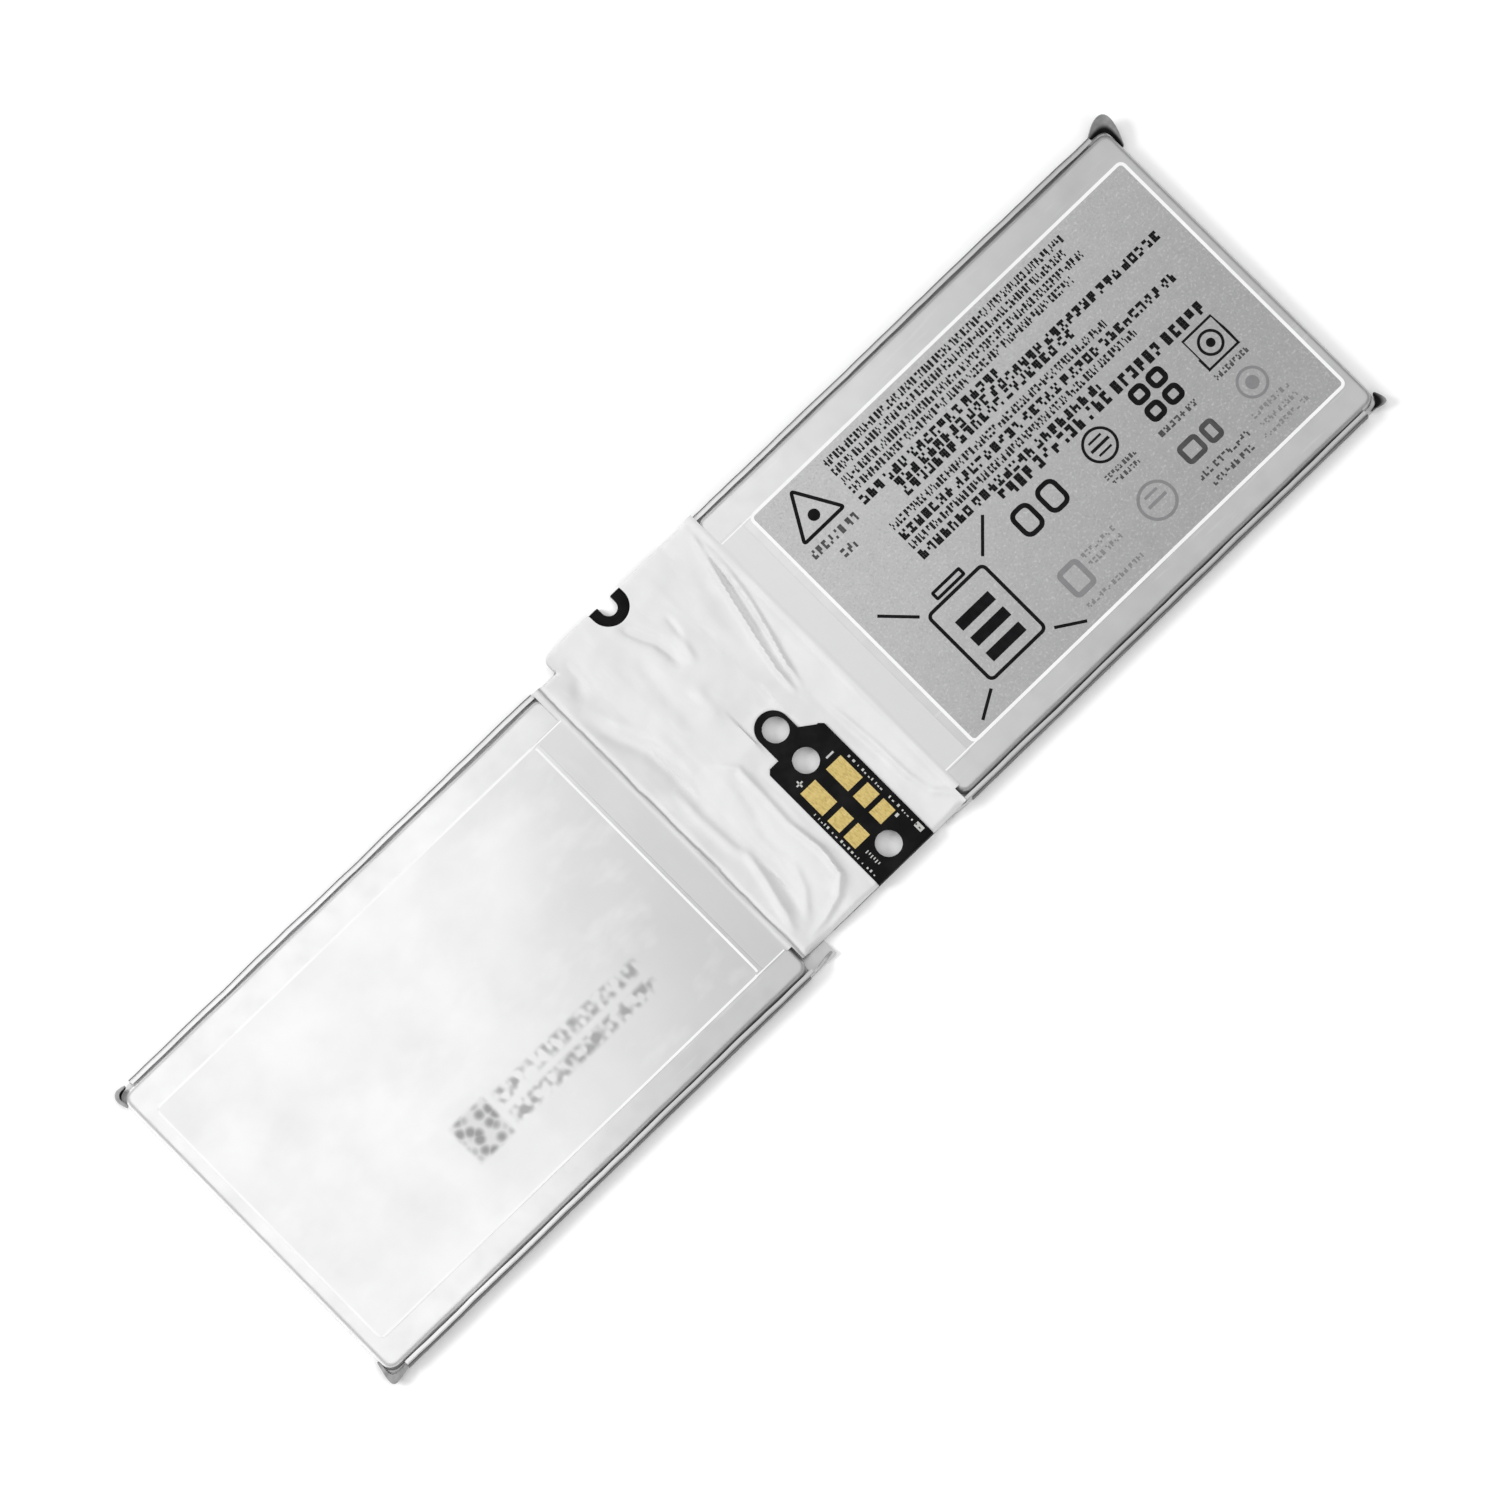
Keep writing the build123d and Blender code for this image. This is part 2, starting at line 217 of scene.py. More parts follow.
# ---------------------------------------------------------------------------------------------
# Finishes
# ---------------------------------------------------------------------------------------------
class Finish:
    """A material with a Principled shader; its patterns are on Object coordinates in millimetres."""

    def __init__(self, name, colour, roughness, metallic=0.0, specular=0.5, coat=0.0, coat_roughness=0.1):
        self.material = bpy.data.materials.new(name)
        self.material.use_nodes = True
        self.nodes, self.links = self.material.node_tree.nodes, self.material.node_tree.links
        self.shader = self.nodes["Principled BSDF"]
        for socket, value in (
            ("Base Color", (*colour, 1)),
            ("Roughness", roughness),
            ("Metallic", metallic),
            ("Specular IOR Level", specular),
            ("Coat Weight", coat),
            ("Coat Roughness", coat_roughness),
        ):
            self.shader.inputs[socket].default_value = value
        self.colour, self.roughness = colour, roughness
        self.tint = None
        self.material.diffuse_color = (*colour, 1)
        coordinates = self.nodes.new("ShaderNodeTexCoord")
        self.place = self.nodes.new("ShaderNodeMapping")
        self.place.inputs["Scale"].default_value = (1000, 1000, 1000)
        self.link(coordinates.outputs["Object"], self.place.inputs["Vector"])

    def link(self, out, into):
        self.links.new(out, into)

    def stretched(self, scale=(1, 1, 1), shift=(0, 0, 0), turn=0.0):
        """The millimetre coordinates, stretched, shifted or turned about Z."""
        mapping = self.nodes.new("ShaderNodeMapping")
        mapping.inputs["Scale"].default_value = scale
        mapping.inputs["Location"].default_value = shift
        mapping.inputs["Rotation"].default_value = (0, 0, turn)
        self.link(self.place.outputs["Vector"], mapping.inputs["Vector"])
        return mapping.outputs["Vector"]

    def cloud(self, reach, detail=2.0, vector=None):
        texture = self.nodes.new("ShaderNodeTexNoise")
        texture.inputs["Scale"].default_value = 1 / reach
        texture.inputs["Detail"].default_value = detail
        self.link(vector or self.place.outputs["Vector"], texture.inputs["Vector"])
        return texture.outputs["Fac"]

    def cells(self, reach):
        texture = self.nodes.new("ShaderNodeTexVoronoi")
        texture.inputs["Scale"].default_value = 1 / reach
        self.link(self.place.outputs["Vector"], texture.inputs["Vector"])
        return texture.outputs["Distance"]

    def range(self, value, low, high, to_low=0.0, to_high=1.0, soft=False):
        node = self.nodes.new("ShaderNodeMapRange")
        node.interpolation_type = "SMOOTHSTEP" if soft else "LINEAR"
        limits = (("From Min", low), ("From Max", high), ("To Min", to_low), ("To Max", to_high))
        for socket, number in limits:
            node.inputs[socket].default_value = number
        self.link(value, node.inputs["Value"])
        return node.outputs["Result"]

    def maths(self, kind, a, b):
        node = self.nodes.new("ShaderNodeMath")
        node.operation = kind
        for value, socket in ((a, node.inputs[0]), (b, node.inputs[1])):
            if isinstance(value, (int, float)):
                socket.default_value = value
            else:
                self.link(value, socket)
        return node.outputs["Value"]

    def axis(self, letter):
        node = self.nodes.new("ShaderNodeSeparateXYZ")
        self.link(self.place.outputs["Vector"], node.inputs["Vector"])
        return node.outputs[letter]

    def slope(self, lean):
        """Grows along X and falls along Y, the second by the lean."""
        return self.maths("SUBTRACT", self.axis("X"), self.maths("MULTIPLY", self.axis("Y"), lean))

    def paint(self, colour, amount):
        """Lays another colour over what is there, by an amount from 0 to 1 over the surface."""
        node = self.nodes.new("ShaderNodeMix")
        node.data_type = "RGBA"
        if self.tint is None:
            node.inputs["A"].default_value = (*self.colour, 1)
        else:
            self.link(self.tint, node.inputs["A"])
        node.inputs["B"].default_value = (*colour, 1)
        self.link(amount, node.inputs["Factor"])
        self.tint = node.outputs["Result"]
        self.link(self.tint, self.shader.inputs["Base Color"])
        return self

    def rub(self, value, low, high, to_low, to_high):
        """Roughness that follows a pattern."""
        self.link(self.range(value, low, high, to_low, to_high), self.shader.inputs["Roughness"])
        return self

    def bump(self, height, distance, strength=1.0):
        """Adds relief; the distance is in millimetres."""
        node = self.nodes.new("ShaderNodeBump")
        node.inputs["Distance"].default_value = distance * MM
        node.inputs["Strength"].default_value = strength
        self.link(height, node.inputs["Height"])
        normal = self.shader.inputs["Normal"]
        if normal.is_linked:
            self.link(normal.links[0].from_socket, node.inputs["Normal"])
        self.link(node.outputs["Normal"], normal)
        return self

    def band(self, letter, low, high, soft):
        """1 between two places along an axis, falling softly to 0 outside."""
        place = self.axis(letter)
        rise = self.range(place, low - soft, low + soft, soft=True)
        fall = self.range(place, high - soft, high + soft, 1.0, 0.0, soft=True)
        return self.maths("MULTIPLY", rise, fall)


def white(value):
    return (value, value, value * 1.005)


def laminate_finish():
    """Aluminium laminate under a matt nylon skin: fine embossing, faint scuffs and soft clouds, and painted
    shade: the plain cell darker towards its inner front corner, the labelled cell painted a darker grey and
    darker still towards its outer front corner.
    """
    f = Finish("pouch_laminate", white(0.86), 0.38, metallic=0.72, coat=0.18, coat_roughness=0.3)
    # Painted shade: darker towards the plain cell's inner front corner, a darker grey over the labelled cell,
    # darker still towards its outer front corner.
    slope = f.slope(0.8)
    f.paint(white(0.48), f.range(slope, -72, -8, 0, 0.88, soft=True))
    f.paint(white(0.73), f.range(f.axis("X"), -5, 5))
    f.paint(white(0.44), f.range(slope, -10, 82, 0, 0.95, soft=True))
    clouds = f.cloud(14, detail=3)
    f.paint(white(0.60), f.range(clouds, 0.40, 0.75, 0, 0.3))
    scuffs = f.cloud(1.0, detail=4, vector=f.stretched((0.09, 1.1, 1)))
    f.paint(white(0.80), f.range(scuffs, 0.62, 0.75, 0, 0.2))
    f.rub(f.cloud(3.2, detail=3), 0.3, 0.7, 0.30, 0.44)
    f.bump(f.cells(0.32), 0.012, 0.5)
    f.bump(f.cloud(5.0, detail=2), 0.06, 0.5)
    return f.material


def folded_finish():
    """The laminate's folded corners: duller, painted a darker grey than the cup as shade, and painted
    near-black low down as the shadow in the folds.
    """
    f = Finish("shaded_folded_laminate", white(0.36), 0.5, metallic=0.25, specular=0.3)
    f.paint(white(0.22), f.range(f.cloud(1.3, detail=3, vector=f.stretched((1, 1, 0.3))), 0.4, 0.7, 0, 0.8))
    # Painted shadow: near-black low down in the folds, fading out by 1.6 mm up.
    f.paint(white(0.006), f.range(f.axis("Z"), 0.8, 1.6, 1.0, 0.0, soft=True))
    f.bump(f.cloud(0.5, detail=3), 0.03, 0.6)
    return f.material


def film_finish():
    """White polyester film, slightly glossy, with faint waviness and a painted shadow line along the plain
    cell's inner end.
    """
    f = Finish("white_film", white(0.66), 0.42, specular=0.42)
    f.paint(white(0.60), f.range(f.cloud(9, detail=3), 0.35, 0.7, 0, 0.6))
    f.paint(white(0.73), f.range(f.cloud(2.2, detail=4, vector=f.stretched((1, 0.3, 1))), 0.55, 0.8, 0, 0.5))
    # Painted shadow: a thin wavering grey line in the gutter where the film meets the plain cell.
    wavy = f.maths("ADD", f.axis("X"), f.range(f.cloud(6, detail=3), 0.3, 0.7, -0.22, 0.22))
    rise = f.range(wavy, -18.8, -18.5, soft=True)
    fall = f.range(wavy, -18.4, -18.05, 1.0, 0.0, soft=True)
    line = f.maths("MULTIPLY", rise, fall)
    f.paint(white(0.30), f.maths("MULTIPLY", line, 0.75))
    # The flaps over the cells' faces are painted greyer than the film over the board, the labelled cell's a
    # little lighter; their darkening towards the front is painted shade.
    from_middle = f.maths("ABSOLUTE", f.axis("X"), 0)
    to_front = f.range(f.axis("Y"), 30, -28, 0.35, 1.0)
    f.paint(white(0.45), f.maths("MULTIPLY", f.range(from_middle, 19.2, 19.9, 0, 0.85, soft=True), to_front))
    f.paint(white(0.62), f.range(f.axis("X"), 19.2, 19.9, 0, 0.55, soft=True))
    f.rub(f.cloud(4, detail=2), 0.3, 0.7, 0.36, 0.5)
    f.bump(f.cloud(1.6, detail=4), 0.02, 0.5)
    f.bump(f.cloud(0.35, detail=2), 0.005, 0.5)
    return f.material


def face_film_finish():
    """Pale film on the plain cell, with a soft grey lot code that can't be read, and painted shade darkening
    it towards the cell's inner front corner.
    """
    f = Finish("face_film", white(0.77), 0.45, specular=0.45, metallic=0.1)
    f.paint(white(0.66), f.range(f.cloud(16, detail=4), 0.38, 0.7, 0, 0.75))
    # Painted shade: darker towards the plain cell's inner front corner.
    slope = f.slope(0.6)
    f.paint(white(0.47), f.range(slope, -70, -6, 0, 0.92, soft=True))
    f.paint(white(0.84), f.range(f.cloud(5, detail=4, vector=f.stretched((0.6, 1, 1))), 0.52, 0.8, 0, 0.3))
    code = f.maths("MULTIPLY", f.band("X", -80.3, -72.6, 0.5), f.band("Y", -18.9, -10.9, 0.5))
    blots = f.range(f.cells(1.9), 0.2, 0.75, 0.75, 0.15, soft=True)
    f.paint(white(0.13), f.maths("MULTIPLY", code, blots))
    rows = f.maths("ADD", f.band("Y", -14.2, -11.6, 0.6), f.band("Y", -18.3, -15.7, 0.6))
    clots = f.cloud(1.15, detail=0, vector=f.stretched((1, 0.75, 1)))
    glyphs = f.range(clots, 0.3, 0.75, 0.0, 0.75, soft=True)
    line = f.maths("MULTIPLY", f.maths("MULTIPLY", f.band("X", -71.0, -39.0, 0.8), rows), glyphs)
    f.paint(white(0.22), line)
    f.rub(f.cloud(5, detail=3), 0.3, 0.7, 0.4, 0.52)
    f.bump(f.cloud(0.5, detail=2), 0.006, 0.5)
    f.bump(f.cloud(12, detail=1), 0.12, 0.5)
    return f.material


def label_finish():
    """Silver label foil with a fine speckle, and painted shade making it a little darker towards one corner.
    """
    f = Finish("label_foil", white(0.47), 0.48, metallic=0.35)
    # Painted shade: darker towards the label's outer front corner.
    slope = f.slope(1.6)
    f.paint(white(0.31), f.range(slope, -10, 130, 0, 0.85, soft=True))
    f.paint(white(0.25), f.range(f.cloud(0.32, detail=1), 0.52, 0.75, 0, 0.35))
    flecks = f.cloud(0.45, detail=2, vector=f.stretched(shift=(40, 9, 3)))
    f.paint(white(0.72), f.range(flecks, 0.54, 0.78, 0, 0.35))
    f.rub(f.cloud(2.5, detail=3), 0.3, 0.7, 0.42, 0.55)
    f.bump(f.cloud(0.3, detail=2), 0.008, 0.6)
    return f.material


def plain_finish(name, colour, roughness, reach, shade, relief, **shader):
    """A finish with soft variation of its colour and roughness and a fine relief."""
    f = Finish(name, colour, roughness, **shader)
    f.paint(tuple(c * shade for c in colour), f.range(f.cloud(reach, detail=4), 0.35, 0.7, 0, 0.8))
    f.rub(f.cloud(reach * 0.6, detail=3), 0.3, 0.7, roughness * 0.85, min(1, roughness * 1.15))
    f.bump(f.cloud(reach * 0.12, detail=3), relief, 0.6)
    return f.material


def brushed_finish(name, colour, roughness):
    """Rolled metal: fine lines along one direction."""
    f = Finish(name, colour, roughness, metallic=1.0)
    lines = f.cloud(1.0, detail=4, vector=f.stretched((0.12, 3.0, 1)))
    f.paint(tuple(c * 0.72 for c in colour), f.range(lines, 0.4, 0.75, 0, 0.8))
    f.rub(lines, 0.3, 0.7, roughness * 0.8, roughness * 1.3)
    f.bump(lines, 0.006, 0.6)
    return f.material


def gold_finish():
    f = Finish("gold_plating", (0.60, 0.46, 0.16), 0.45, metallic=0.5)
    grain = f.cloud(0.35, detail=4, vector=f.stretched((1.4, 0.5, 1), turn=0.9))
    f.paint((0.36, 0.26, 0.075), f.range(grain, 0.45, 0.72, 0, 0.7))
    glints = f.cloud(0.6, detail=3, vector=f.stretched(shift=(5, 3, 1)))
    f.paint((0.72, 0.58, 0.27), f.range(glints, 0.55, 0.75, 0, 0.6))
    f.rub(grain, 0.3, 0.7, 0.34, 0.5)
    f.bump(grain, 0.012, 0.6)
    return f.material


def solder_mask_finish():
    f = Finish("black_solder_mask", (0.004, 0.004, 0.0045), 0.6, specular=0.08)
    f.paint((0.009, 0.009, 0.0095), f.range(f.cloud(3, detail=3), 0.45, 0.7, 0, 0.8))
    f.rub(f.cloud(1.2, detail=3), 0.3, 0.7, 0.42, 0.58)
    f.bump(f.cloud(0.3, detail=2), 0.01, 0.5)
    return f.material


finishes = {
    "pouch_laminate": laminate_finish(),
    "shaded_folded_laminate": folded_finish(),
    "white_film": film_finish(),
    "face_film": face_film_finish(),
    "label_foil": label_finish(),
    "gold_plating": gold_finish(),
    "black_solder_mask": solder_mask_finish(),
    "bright_border": plain_finish("bright_border", white(0.80), 0.4, 6, 0.93, 0.004),
    "label_ink": plain_finish("label_ink", (0.004, 0.004, 0.0045), 0.6, 1.5, 2.2, 0.004, specular=0.08),
    "grey_ink": plain_finish("grey_ink", (0.05, 0.05, 0.05), 0.55, 1.5, 1.5, 0.004, specular=0.2),
    "pale_ink": plain_finish("pale_ink", (0.19, 0.19, 0.195), 0.55, 1.5, 1.15, 0.004, specular=0.2),
    "legend_ink": plain_finish("legend_ink", (0.50, 0.50, 0.48), 0.6, 1.2, 0.7, 0.006),
    # Seam tapes: a grey tape, made dark partly as painted shade for the dark lines along the seams; the front
    # seams' copy is darker still, painted shade.
    "shaded_seam_tape": plain_finish("shaded_seam_tape", white(0.045), 0.4, 5, 0.7, 0.006, coat=0.2),
    "seam_tape": plain_finish("seam_tape", white(0.13), 0.34, 5, 0.8, 0.006, coat=0.3),
    "solder": plain_finish("solder", (0.62, 0.62, 0.60), 0.3, 0.8, 0.8, 0.01, metallic=1.0),
    "nickel": brushed_finish("nickel", (0.62, 0.58, 0.52), 0.3),
    "aluminium_foil": brushed_finish("aluminium_foil", (0.78, 0.78, 0.79), 0.28),
    "copper_foil": brushed_finish("copper_foil", (0.78, 0.40, 0.24), 0.3),
    "cathode_coating": plain_finish("cathode_coating", (0.035, 0.035, 0.037), 0.75, 2.5, 0.7, 0.01),
    "anode_coating": plain_finish("anode_coating", (0.05, 0.05, 0.053), 0.5, 2.5, 0.75, 0.01),
    "separator_film": plain_finish("separator_film", (0.8, 0.8, 0.79), 0.5, 4, 0.92, 0.004),
    "stack_tape": plain_finish("stack_tape", (0.12, 0.32, 0.22), 0.35, 4, 0.85, 0.004, coat=0.3),
    "tab_sealant": plain_finish("tab_sealant", (0.45, 0.44, 0.40), 0.45, 1.5, 0.85, 0.01),
    "chip_epoxy": plain_finish("chip_epoxy", (0.015, 0.015, 0.016), 0.6, 0.8, 1.6, 0.01),
    "chip_ceramic": plain_finish("chip_ceramic", (0.36, 0.27, 0.19), 0.5, 0.4, 0.8, 0.008),
}


def complete(piece, finish, body, replaced=(), across=None):
    """Gives a piece its finish and its place in the model. When across is given, the piece's place is put
    into its mesh and it joins no body; its numbers, a start and end in x, are not used.
    """
    if finish:
        piece.data.materials.clear()
        piece.data.materials.append(finishes[finish])
    if replaced:
        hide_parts(*replaced)
    if across:
        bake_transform(piece)
    else:
        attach(piece, body)
    return piece


# ---------------------------------------------------------------------------------------------
# Camera, floor and light
# ---------------------------------------------------------------------------------------------
def set_camera():
    turn, rise, roll = math.radians(44.80), math.radians(79.48), math.radians(0.39)
    away = Vector((-math.cos(rise) * math.sin(turn), -math.cos(rise) * math.cos(turn), math.sin(rise)))
    target, distance = Vector((-0.44, -0.06, 1.0)) * MM, 2.060
    data = bpy.data.cameras.new("camera")
    data.lens, data.sensor_width = 299.9, 36
    data.clip_start, data.clip_end = 0.1, 20
    camera = bpy.data.objects.new("camera", data)
    bpy.context.scene.collection.objects.link(camera)
    camera.location = target + away * distance
    camera.rotation_mode = "QUATERNION"
    camera.rotation_quaternion = (-away).to_track_quat("-Z", "Y") @ Quaternion((0, 0, 1), roll)
    bpy.context.scene.camera = camera


def set_stage():
    bpy.ops.object.select_all(action="DESELECT")
    bpy.ops.mesh.primitive_plane_add(size=8, location=(0, 0, -0.00004))
    floor = bpy.context.object
    floor.name = "floor"
    settle(floor)
    paper = Finish("floor_paper", white(0.97), 0.9, specular=0.1)
    paper.paint(white(0.955), paper.range(paper.cloud(300, detail=1), 0.3, 0.7))
    floor.data.materials.append(paper.material)


def softbox(name, place, size, power, in_gloss=True):
    """A soft area light aimed at the pack. in_gloss says whether it shows in glossy surfaces."""
    data = bpy.data.lights.new(name, "AREA")
    data.shape, data.size, data.size_y = "RECTANGLE", *size
    data.energy = power
    light = bpy.data.objects.new(name, data)
    light.location = place
    light.rotation_mode = "QUATERNION"
    light.rotation_quaternion = (-Vector(place)).to_track_quat("-Z", "Y")
    light.visible_glossy = in_gloss
    bpy.context.scene.collection.objects.link(light)


def set_lights():
    world = bpy.data.worlds.new("studio")
    bpy.context.scene.world = world
    world.use_nodes = True
    world.node_tree.nodes["Background"].inputs["Color"].default_value = (1, 1, 1, 1)
    world.node_tree.nodes["Background"].inputs["Strength"].default_value = 0.36
    softbox("overhead", (0.2, 0.2, 1.6), (2.6, 2.6), 16)
    softbox("key", (-0.75, 0.75, 0.65), (0.5, 0.5), 11.5, in_gloss=False)
    softbox("front", (0.25, -1.1, 0.8), (1.2, 0.6), 5.8, in_gloss=False)
    bpy.context.scene.view_settings.view_transform = "Standard"


# ---------------------------------------------------------------------------------------------
# Pouch cells. Each is made in its own frame: x from the tab end outwards, y across, z up.
# ---------------------------------------------------------------------------------------------
LAMINATE = 0.12
GAP_HALF = edges_of("right_pouch_cover")[0] + 5.0  # from the board's middle to a cell's body
SHIFT = (edges_of("right_seam_tapes")[3] + edges_of("right_seam_tapes")[2]) / 2
CELL_LENGTH = 96.0
CELL_TOP = edges_of("right_pouch_cup")[5]
SIDE = (edges_of("right_seam_tapes")[3] - edges_of("right_seam_tapes")[2]) / 2
CUP_SIDE = SIDE - 1.1
SEAM_TOP = 2.12
SEAM_ROLL = (  # how a side seam goes on from its foot: inwards, up
    (0, 0.5), (0, 0.6), (0, 0.55), (-0.03, 0.16), (-0.14, 0.08), (-0.24, 0.01), (-0.26, -0.03),
)
SEAM_END = 93.0
TAB_SPOTS = (14.0, -14.0)
SIDES = {"left": -1, "right": 1}


def seat(piece, cell):
    """Turns and moves a piece from the cell's frame to its place in the pack."""
    side = SIDES[cell]
    piece.rotation_euler.z = math.pi if side < 0 else 0
    piece.location = (side * GAP_HALF * MM, side * SHIFT * MM, 0)
    return settle(piece)


def cup(cell, seed):
    """The drawn cup: a box with round corners and soft shoulders, open below, slightly pillowed."""
    piece = block(f"{cell}_cup_shell", 0, CELL_LENGTH, -CUP_SIDE, CUP_SIDE, LAMINATE, CELL_TOP)
    with at_bench(piece) as bench:
        bench.pick("edges", lambda e: stands(e, 1))
        bpy.ops.mesh.bevel(offset=1.9 * MM, segments=5, affect="EDGES")
        bench.pick("edges", lambda e: all(v.co.z > (CELL_TOP - 0.01) * MM for v in e.verts))
        bpy.ops.mesh.bevel(offset=1.1 * MM, segments=5, affect="EDGES")
        bench.pick("faces", lambda f: f.normal.z < -0.9)
        bpy.ops.mesh.delete(type="FACE")
        bench.cut(0, steps(0, CELL_LENGTH, 40))
        bench.cut(1, steps(-CUP_SIDE, CUP_SIDE, 28))
    co = places(piece)
    from_edge = np.minimum(np.minimum(co[:, 0], CELL_LENGTH - co[:, 0]), CUP_SIDE - np.abs(co[:, 1]))
    flat = (co[:, 2] > CELL_TOP - 0.05) * np.clip(from_edge / 6, 0, 1)
    co[:, 2] -= flat * (0.035 + 0.05 * pillow(co, seed, 17))
    shoulder = np.clip((co[:, 2] - 1.2) / 0.6, 0, 1) * np.clip(1 - from_edge / 1.4, 0, 1)
    co[:, 1] -= np.sign(co[:, 1]) * shoulder * 0.10 * (1 + wander(co[:, 0], seed, 6.0))
    move_to(piece, co)
    thicken(piece, LAMINATE, -1)
    return smooth(piece)


def seam_wave(co, seed, lean):
    """The folded-up seams wander a little, most at their tops, and one side's leans in on the cup."""
    rise = np.clip((co[:, 2] - 0.4) / (SEAM_TOP - 0.4), 0, 1) ** 1.5
    line = wander(co[:, 0], seed, 9.0) + 0.5 * wander(co[:, 0], seed + 5, 2.7)
    co[:, 1] += np.sign(co[:, 1]) * rise * (0.13 * line - lean)
    co[:, 2] += rise * 0.07 * wander(co[:, 0], seed + 9, 5.0)
    return co


def leaning(cell, side):
    """The seams along the pack's front edge lean in; those along its back edge stand upright."""
    return 0.12 if side * SIDES[cell] < 0 else 0.02


def seam(cell, side, seed):
    """A side seam: flat from the cup's foot, turned up, and rolled in along its top."""
    foot, stand = side * (CUP_SIDE - 0.1), side * (SIDE - 0.17)
    piece = grid(f"{cell}_seam_{seed}", 0, SEAM_END, min(foot, stand), max(foot, stand), 0.18, 62, 2)
    edge = abs(stand) * MM - 1e-6
    with at_bench(piece) as bench:
        bench.pick("edges", lambda e: all(abs(v.co.y) > edge for v in e.verts))
        for reach, lift in SEAM_ROLL:
            move = (0, side * reach * MM, lift * MM)
            bpy.ops.mesh.extrude_edges_move(TRANSFORM_OT_translate={"value": move})
    move_to(piece, seam_wave(places(piece), seed, leaning(cell, side)))
    thicken(piece, 2 * LAMINATE - 0.02)
    return smooth(piece, 50)


def seam_tape(cell, side, seed):
    """A tape along the outside of a seam."""
    y = side * (SIDE + 0.02)
    piece = block(f"{cell}_tape_{seed}", 1, SEAM_END, y - 0.07, y + 0.07, 0.15, SEAM_TOP - 0.12)
    with at_bench(piece) as bench:
        bench.cut(0, steps(1, SEAM_END, 60))
        bench.cut(2, (0.7, 1.2, 1.6))
    move_to(piece, seam_wave(places(piece), seed, leaning(cell, side)))
    return smooth(piece)


def terrace(cell, seed):
    """The flat seal at the tab end, with its pressed ridges and the humps over the tabs."""
    piece = block(f"{cell}_terrace", -5, 0.3, -(SIDE - 0.1), SIDE - 0.1, LAMINATE, 3 * LAMINATE)
    with at_bench(piece) as bench:
        bench.cut(0, steps(-5, 0.3, 22))
        bench.cut(1, steps(-SIDE, SIDE, 66))
    co = places(piece)
    top = co[:, 2] > 0.3
    hump = sum(np.clip((5.6 - np.abs(co[:, 1] - y)) / 0.6, 0, 1) for y in TAB_SPOTS)
    ridges = (co[:, 0] < -0.9) * (co[:, 0] > -4.3) * 0.02 * np.sin(co[:, 0] * 2 * math.pi / 0.96)
    co[:, 2] += top * (hump * 0.2 + ridges)
    near_corner = np.clip(np.abs(co[:, 1]) - (SIDE - 3.2), 0, 3.2) / 3.2
    lift = near_corner**1.5 * (0.35 + 0.3 * pillow(co, seed, 4))
    co[:, 2] += lift * np.clip(-co[:, 0] / 4, 0, 1)
    move_to(piece, co)
    return smooth(piece, 50)


def cover(cell):
    """The flat laminate underneath, stepped up to the terrace, with rounded outer corners."""
    piece = block(f"{cell}_cover_sheet", 0, CELL_LENGTH, -(SIDE - 0.1), SIDE - 0.1, 0, LAMINATE)
    with at_bench(piece) as bench:
        bench.pick("faces", lambda f: f.normal.x < -0.9)
        bpy.ops.mesh.extrude_region_move(TRANSFORM_OT_translate={"value": (-0.14 * MM, 0, 0)})
        bpy.ops.transform.translate(value=(0, 0, 0.12 * MM))
        bpy.ops.mesh.extrude_region_move(TRANSFORM_OT_translate={"value": (-0.3 * MM, 0, 0)})
        bench.pick("edges", lambda e: stands(e, 0.1) and e.verts[0].co.x > 90 * MM)
        bpy.ops.mesh.bevel(offset=1.2 * MM, segments=4, affect="EDGES")
    return smooth(modify(piece, "BEVEL", width=0.03 * MM, segments=2, limit_method="ANGLE"))


def fold(name, rows, thickness=0.15):
    """A small fold of laminate drawn through rows of points, then rounded and given its thickness."""
    wide, high = len(rows[0]) - 1, len(rows) - 1
    piece = grid(name, 0, wide, 0, high, 0, wide, high)
    co = places(piece)
    for i, (x, y, _) in enumerate(co):
        co[i] = rows[int(round(y))][int(round(x))]
    move_to(piece, co)
    modify(piece, "SUBSURF", levels=2, render_levels=2)
    thicken(piece, thickness)
    return smooth(piece, 60)


